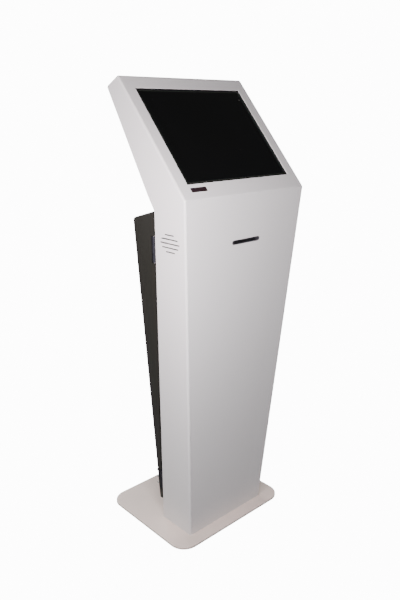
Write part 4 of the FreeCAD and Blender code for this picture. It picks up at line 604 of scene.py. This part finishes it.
def wound_paper():
    """Thermal paper: smooth outside, with the edges of its turns as rings on the roll's ends."""
    made, tree, shader = new_finish("wound_paper", gloss=0.3)
    where = tree.nodes.new("ShaderNodeTexCoord").outputs["Object"]
    centred = node_of(tree, "ShaderNodeMapping", (("Vector", where), ("Location", roll_axis),
                                                  ("Scale", (1e6, 1.0, 1.0))), vector_type="TEXTURE")
    reach = node_of(tree, "ShaderNodeVectorMath", ((0, centred.outputs["Vector"]),), operation="LENGTH")
    turns = node_of(tree, "ShaderNodeMath", ((0, reach.outputs["Value"]), (1, 2 * math.pi / paper_ring)),
                    operation="MULTIPLY")
    ring = node_of(tree, "ShaderNodeMath", ((0, turns.outputs["Value"]),), operation="SINE")
    dark = node_of(tree, "ShaderNodeMapRange", (("Value", ring.outputs["Value"]), ("From Min", -1.0)))
    tree.links.new(mixed(tree, dark.outputs["Result"], (0.84, 0.84, 0.81), (0.66, 0.66, 0.62)),
                   shader.inputs["Base Color"])
    fibres = node_of(tree, "ShaderNodeTexNoise", (("Vector", where), ("Scale", 1400.0), ("Detail", 4.0)))
    rough = node_of(tree, "ShaderNodeMapRange", (("Value", fibres.outputs["Fac"]), ("To Min", 0.7),
                                                 ("To Max", 0.95)))
    tree.links.new(rough.outputs["Result"], shader.inputs["Roughness"])
    relief = node_of(tree, "ShaderNodeBump", (("Height", ring.outputs["Value"]), ("Distance", 0.00006)))
    tree.links.new(relief.outputs["Normal"], shader.inputs["Normal"])
    return made


finish(wound_paper(), "paper_roll")


def board_parts_tree():
    """Nodes: small parts of random sizes on a regular pitch, with some places left empty."""
    tree, given = place_tree("board parts", (
        ("Smallest", "Vector"), ("Largest", "Vector"), ("Filled", "Float")))
    chip = node_of(tree, "GeometryNodeMeshCube", (("Size", (1.0, 1.0, 1.0)),))
    raised = node_of(tree, "GeometryNodeTransform", (
        ("Geometry", chip.outputs["Mesh"]), ("Translation", (0.0, 0.0, 0.5))))
    kept = node_of(tree, "FunctionNodeRandomValue", (
        ("Probability", given.outputs["Filled"]), ("Seed", given.outputs["Seed"])), data_type="BOOLEAN")
    size = node_of(tree, "FunctionNodeRandomValue", (
        (0, given.outputs["Smallest"]), (1, given.outputs["Largest"]), ("Seed", given.outputs["Seed"])),
        data_type="FLOAT_VECTOR")
    copies = node_of(tree, "GeometryNodeInstanceOnPoints", (
        ("Points", given.outputs["Geometry"]), ("Selection", kept.outputs[3]),
        ("Instance", raised.outputs["Geometry"]), ("Rotation", turned_to_face(tree)),
        ("Scale", size.outputs[0])))
    made_real(tree, given, copies)
    return tree


column_front = tilted((0, -0.1343, 0.006), 94.1)
slot_up, skin = 0.80105, 0.002
printer_at = column_front @ Matrix.Translation((0, slot_up, -skin))
board_face = Matrix.Translation((-0.0615, 0, 0)) @ Matrix.Rotation(math.radians(-90), 4, "Y")
chip_rows, chip_columns = 4, 16
first_chip, chip_pitch = (-0.042, -0.150), (0.0055, 0.0052)
socket_rows, socket_columns = range(2, 4), range(3, 9)
chip_places = [
    printer_at @ Matrix.Translation((
        0, first_chip[0] + chip_pitch[0] * row, first_chip[1] + chip_pitch[1] * column)) @ board_face
    for row in range(chip_rows) for column in range(chip_columns)
    if not (row in socket_rows and column in socket_columns)]
chip_resin = coated("chip_resin", (0.014, 0.014, 0.015), (0.024, 0.024, 0.025), 0.45, peel=1600)
chips = settled("printer_board_chips", chip_places, board_parts_tree(), {
    "Smallest": (0.0008, 0.0015, 0.0005), "Largest": (0.0038, 0.0036, 0.0016), "Filled": 0.7, "Seed": 5,
    "Finish": chip_resin}, degrees=20)
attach(chips, "cabinet")

# ---------------------------------------------------------------------------------------
# Electronics: a folded zinc panel behind the front sheet carries the small computer with its
# finned lid and the power supply with its row of screw terminals. Moulded plugs end the leads,
# and nylon ties hold them.
finish(zinc_plate, "equipment_panel", "power_supply")
finish(coated("case_anodising", (0.045, 0.046, 0.049), (0.06, 0.06, 0.063), 0.4, peel=900, metal=0.8),
       "pc_case", "pc_cover")
finish(board_lacquer, "pc_board")
finish(grey_plastic, "terminal_block")
finish(black_plastic, "pc_power_button")
lead_sleeve = coated("lead_sleeve", (0.02, 0.02, 0.021), (0.03, 0.03, 0.031), 0.55, peel=900)
finish(lead_sleeve, "mains_lead", "monitor_lead", "printer_lead")


def in_column(x, y, z):
    """A place given in millimetres across, up and behind the column's front face."""
    return column_front @ Matrix.Translation((x / 1000, y / 1000, -z / 1000))


rearwards = Matrix.Rotation(math.pi, 4, "Y")
terminals, terminal_pitch, terminal_up, terminal_face = 7, 11, 200.5, 44.6
terminal_screws = spread(
    "terminal_screws", cross_screw(head=0.006, height=0.0016, shank=0.003, length=0.002),
    [in_column((n - terminals // 2) * terminal_pitch, terminal_up, terminal_face) @ rearwards
     for n in range(terminals)], bright_steel, spin=1.5, seed=9)
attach(terminal_screws, "cabinet")
panel_fixings = ((-93, 160), (93, 160), (-93, 395), (93, 395), (-93, 630), (93, 630))
case_fixings = ((-60, 368), (60, 368), (-60, 618), (60, 618), (0, 368))
panel_face = 15.5
fixing_screws = spread(
    "fixing_screws", cross_screw(head=0.007, height=0.002, shank=0.0035, length=0.001),
    [in_column(x, y, panel_face) @ rearwards for x, y in panel_fixings + case_fixings], bright_steel,
    spin=1.5, seed=12)
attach(fixing_screws, "cabinet")


def plug_body(width, thick, length, lead, ribs=4):
    """A moulded plug on a lead along +z: a rounded block, a shoulder and a ribbed relief."""
    form = bmesh.new()
    corners, neck, relief_from = 24, 1.2 * lead, 0.72
    rows = [(width, thick, 0.0, 0.2), (width, thick, 0.62 * length, 0.2),
            (0.86 * width, 0.92 * thick, 0.70 * length, 0.3)]
    for n in range(ribs):
        near = relief_from + (1 - relief_from) * n / ribs
        bulge = lead * (1.75 - 0.35 * n / ribs)
        rows += [(bulge, bulge, near * length, 0.5), (bulge, bulge, (near + 0.035) * length, 0.5),
                 (neck, neck, (near + 0.04) * length, 0.5), (neck, neck, (near + 0.06) * length, 0.5)]
    rings = []
    for wide, deep, z, round_share in rows:
        ring = []
        power = 2 / (2 + 6 * (0.5 - round_share))
        for n in range(corners):
            turn = 2 * math.pi * (n + 0.5) / corners
            x, y = math.cos(turn), math.sin(turn)
            ring.append(form.verts.new((
                math.copysign(abs(x) ** power, x) * wide / 2,
                math.copysign(abs(y) ** power, y) * deep / 2, z)))
        rings.append(ring)
    ring_walls(form, rings)
    form.faces.new(list(reversed(rings[0])))
    form.faces.new(rings[-1])
    return mesh_of("plug_body", form)


upwards = Matrix.Rotation(math.radians(-90), 4, "X")
downwards = Matrix.Rotation(math.radians(90), 4, "X")
bezel_frame = tilted(bezel_place, bezel_turn)
case_plugs, monitor_plug = ((-75, 600.3, 32.5), (-40, 600.3, 32.5)), (-0.060, 0.1100, -0.046)
lead_plugs = spread(
    "lead_plugs", plug_body(width=0.017, thick=0.010, length=0.030, lead=0.006),
    [in_column(*place) @ upwards for place in case_plugs]
    + [bezel_frame @ Matrix.Translation(monitor_plug) @ downwards], black_plastic)
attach(lead_plugs, "cabinet")


def cable_tie(lead):
    """A nylon tie round a lead that runs along z: a flat band, its head and its cut tail."""
    form = bmesh.new()
    corners, width, thick, slack = 28, 0.0034, 0.0010, 0.00005
    head_size, tail_size = (0.0030, 0.0042, 0.0048), (0.0009, 0.0050, 0.0030)
    for inner in (0, 1):
        for z in (-width / 2, width / 2):
            for n in range(corners):
                turn = 2 * math.pi * n / corners
                reach = lead / 2 + slack + (0 if inner == 0 else thick)
                form.verts.new((reach * math.cos(turn), reach * math.sin(turn), z))
    form.verts.ensure_lookup_table()

    def at(wall, edge, n):
        """A vertex by its wall, edge and place round the band."""
        return form.verts[(wall * 2 + edge) * corners + n % corners]

    for n in range(corners):
        form.faces.new((at(0, 0, n), at(0, 1, n), at(0, 1, n + 1), at(0, 0, n + 1)))
        form.faces.new((at(1, 0, n), at(1, 0, n + 1), at(1, 1, n + 1), at(1, 1, n)))
        form.faces.new((at(0, 0, n), at(0, 0, n + 1), at(1, 0, n + 1), at(1, 0, n)))
        form.faces.new((at(0, 1, n), at(1, 1, n), at(1, 1, n + 1), at(0, 1, n + 1)))
    for middle, size in (((lead / 2 + 0.0022, 0, 0), head_size),
                         ((lead / 2 + 0.0024, 0.0042, 0), tail_size)):
        block = bmesh.ops.create_cube(form, size=1.0)["verts"]
        bmesh.ops.scale(form, vec=size, verts=block)
        bmesh.ops.translate(form, vec=middle, verts=block)
        edges = {edge for vert in block for edge in vert.link_edges}
        bmesh.ops.bevel(form, geom=list(edges), offset=0.0003, segments=2, affect="EDGES")
    return mesh_of("cable_tie", form)


nylon = coated("tie_nylon", (0.62, 0.62, 0.58), (0.55, 0.55, 0.51), 0.45, peel=1200)
signal_tie_places = ((-100, 745, 90), (-100, 815, 90), (-60.7, 722, 100))
mains_tie_places = ((-26, 70, 58.05), (-26, 118, 58.05))
signal_ties = spread(
    "signal_ties", cable_tie(lead=0.006), [in_column(*place) @ upwards for place in signal_tie_places],
    nylon, spin=2.0, seed=3)
mains_ties = spread(
    "mains_ties", cable_tie(lead=0.007), [in_column(*place) @ upwards for place in mains_tie_places],
    nylon, spin=2.0, seed=6)
for ties in (signal_ties, mains_ties):
    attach(ties, "cabinet")

# ---------------------------------------------------------------------------------------
# Mains inlet and switch: a moulded three-pin inlet and a rocker switch, both snapped into the
# column's rear skirt below the door.
finish(black_plastic, "power_inlet", "rocker_housing", "rocker")

# ---------------------------------------------------------------------------------------
# Rear door: a folded dark tray on two pinned hinges, whose leaves are held by countersunk
# screws. A cam lock with a chromed barrel shuts it.
finish(dark_coat, "rear_door")
finish(coated("hinge_black", (0.008, 0.008, 0.014), (0.012, 0.012, 0.019), 0.55, peel=900, metal=0.3),
       "hinge_frame_leaves", "hinge_door_leaves")
finish(bright_steel, "hinge_pins", "lock_nut")
finish(metalled("lock_chrome", (0.74, 0.74, 0.75), (0.64, 0.64, 0.66), 0.14, lines=3000, spangle=400),
       "lock_body", "lock_plug")

hinge_foot, side_lean, rear_lean = (-0.140393, -0.021681, 0.06600), 3.997, 4.639
pin_clear, frame_leaf_at, door_leaf_at = (0.0045, 0.0068, 0), (0.0118, -0.00498), (-0.00118, 0.0142)
hinge_at = (tilted(hinge_foot, -side_lean, "Y") @ Matrix.Rotation(math.radians(rear_lean), 4, "X")
            @ Matrix.Translation(pin_clear))
hinge_heights, screw_steps = (0.065, 0.730), (-0.022, 0.0, 0.022)
hinge_rows = [height + step for height in hinge_heights for step in screw_steps]
leaf_screw = cross_screw(head=0.0065, height=0.001, shank=0.003, length=0.0016, flush=True)
frame_leaf_screws = spread(
    "frame_leaf_screws", leaf_screw,
    [hinge_at @ Matrix.Translation((*frame_leaf_at, z)) @ upwards for z in hinge_rows], bright_steel,
    spin=1.5, seed=21)
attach(frame_leaf_screws, "cabinet")
door_leaf_screws = spread(
    "door_leaf_screws", leaf_screw,
    [hinge_at @ Matrix.Translation((*door_leaf_at, z)) @ Matrix.Rotation(math.radians(90), 4, "Y")
     for z in hinge_rows], bright_steel, spin=1.5, seed=22)
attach(door_leaf_screws, "door")

# ---------------------------------------------------------------------------------------
# Speakers: behind the five slots of each side wall sit a pressed mesh guard and a paper cone
# in a moulded basket. Painted shade darkens the slots' cut edges.
finish(grey_plastic, "speaker_baskets")
finish(coated("cone_paper", (0.035, 0.035, 0.037), (0.05, 0.05, 0.052), 0.9, peel=1200, depth=0.0002),
       "speaker_cones")
speaker_at, speaker_turn = (0.1928, -0.1383, 0.816), 90 + side_lean
slots_within, slots_clear = 0.034, 0.036


def slotted_coat():
    """The shell's coat, with painted shade on the slots' cut edges just under the outer face."""
    made = shell_coat.copy()
    made.name = "slotted_coat"
    tree = made.node_tree
    shader = next(node for node in tree.nodes if node.bl_idname == "ShaderNodeBsdfPrincipled")
    clean = shader.inputs["Base Color"].links[0].from_socket
    axes = node_of(tree, "ShaderNodeSeparateXYZ", (
        ("Vector", tree.nodes.new("ShaderNodeTexCoord").outputs["Object"]),))
    side = node_of(tree, "ShaderNodeMath", ((0, axes.outputs["X"]),), operation="ABSOLUTE")
    folded = node_of(tree, "ShaderNodeCombineXYZ", (
        ("X", side.outputs["Value"]), ("Y", axes.outputs["Y"]), ("Z", axes.outputs["Z"])))
    offset = node_of(tree, "ShaderNodeVectorMath", ((0, folded.outputs["Vector"]), (1, speaker_at)),
                     operation="SUBTRACT")
    turn = math.radians(speaker_turn)
    depth = node_of(tree, "ShaderNodeVectorMath", (
        (0, offset.outputs["Vector"]), (1, (-math.sin(turn), 0.0, -math.cos(turn)))), operation="DOT_PRODUCT")
    reach = node_of(tree, "ShaderNodeVectorMath", ((0, offset.outputs["Vector"]),), operation="LENGTH")
    under = node_of(tree, "ShaderNodeMapRange", (
        ("Value", depth.outputs["Value"]), ("From Min", 0.0001), ("From Max", 0.0004)))
    near = node_of(tree, "ShaderNodeMapRange", (
        ("Value", reach.outputs["Value"]), ("From Min", slots_clear), ("From Max", slots_within)))
    # Painted shade: the mask covers the slots' cut edges, just under the outer face near each speaker.
    painted_slot_shade = node_of(tree, "ShaderNodeMath", ((0, under.outputs["Result"]), (1, near.outputs["Result"])),
                    operation="MULTIPLY")
    # The near-black colour is painted shade on the slot walls, not a colour of the coat.
    tree.links.new(mixed(tree, painted_slot_shade.outputs["Value"], clean, (0.02, 0.02, 0.02)),
                   shader.inputs["Base Color"])
    return made


finish(slotted_coat(), "side_skin_left", "side_skin_right")
guard_radius, guard_front, guard_sheet = 0.0337, -0.00206, 0.0004


def guard_disc():
    """A thin round sheet with a rolled rim."""
    form = bmesh.new()
    corners = 64
    rows = [(0.0, 0.0), (0.5, 0.0), (0.93, 0.0), (0.98, -0.1), (1.0, -0.5), (0.98, -0.9), (0.93, -1.0),
            (0.5, -1.0), (0.0, -1.0)]
    rings = []
    for reach, depth in rows:
        z = guard_front + depth * guard_sheet
        if reach == 0.0:
            rings.append([form.verts.new((0, 0, z))])
            continue
        rings.append([form.verts.new((
            reach * guard_radius * math.cos(2 * math.pi * n / corners),
            reach * guard_radius * math.sin(2 * math.pi * n / corners), z)) for n in range(corners)])
    ring_walls(form, rings)
    return mesh_of("guard_disc", form)


def mesh_metal():
    """Perforated steel sheet: rows of fine holes in a dark enamelled ground."""
    made, tree, shader = new_finish("mesh_metal", metal=0.2)
    where = tree.nodes.new("ShaderNodeTexCoord").outputs["Object"]
    cells = node_of(tree, "ShaderNodeTexVoronoi", (("Vector", where), ("Scale", 700.0), ("Randomness", 0.0)))
    hole = node_of(tree, "ShaderNodeMapRange", (
        ("Value", cells.outputs["Distance"]), ("From Min", 0.30), ("From Max", 0.38), ("To Min", 1.0),
        ("To Max", 0.0)))
    tree.links.new(mixed(tree, hole.outputs["Result"], (0.022, 0.021, 0.021), (0.006, 0.006, 0.006)),
                   shader.inputs["Base Color"])
    rough = node_of(tree, "ShaderNodeMapRange", (("Value", hole.outputs["Result"]), ("To Min", 0.45),
                                                 ("To Max", 0.9)))
    tree.links.new(rough.outputs["Result"], shader.inputs["Roughness"])
    relief = node_of(tree, "ShaderNodeBump", (("Height", hole.outputs["Result"]), ("Distance", 0.0002)),
                     invert=True)
    tree.links.new(relief.outputs["Normal"], shader.inputs["Normal"])
    return made


speaker_guards = spread(
    "speaker_guards", guard_disc(),
    [tilted((side * speaker_at[0], *speaker_at[1:]), side * speaker_turn, "Y") for side in (-1, 1)],
    mesh_metal())
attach(speaker_guards, "cabinet")
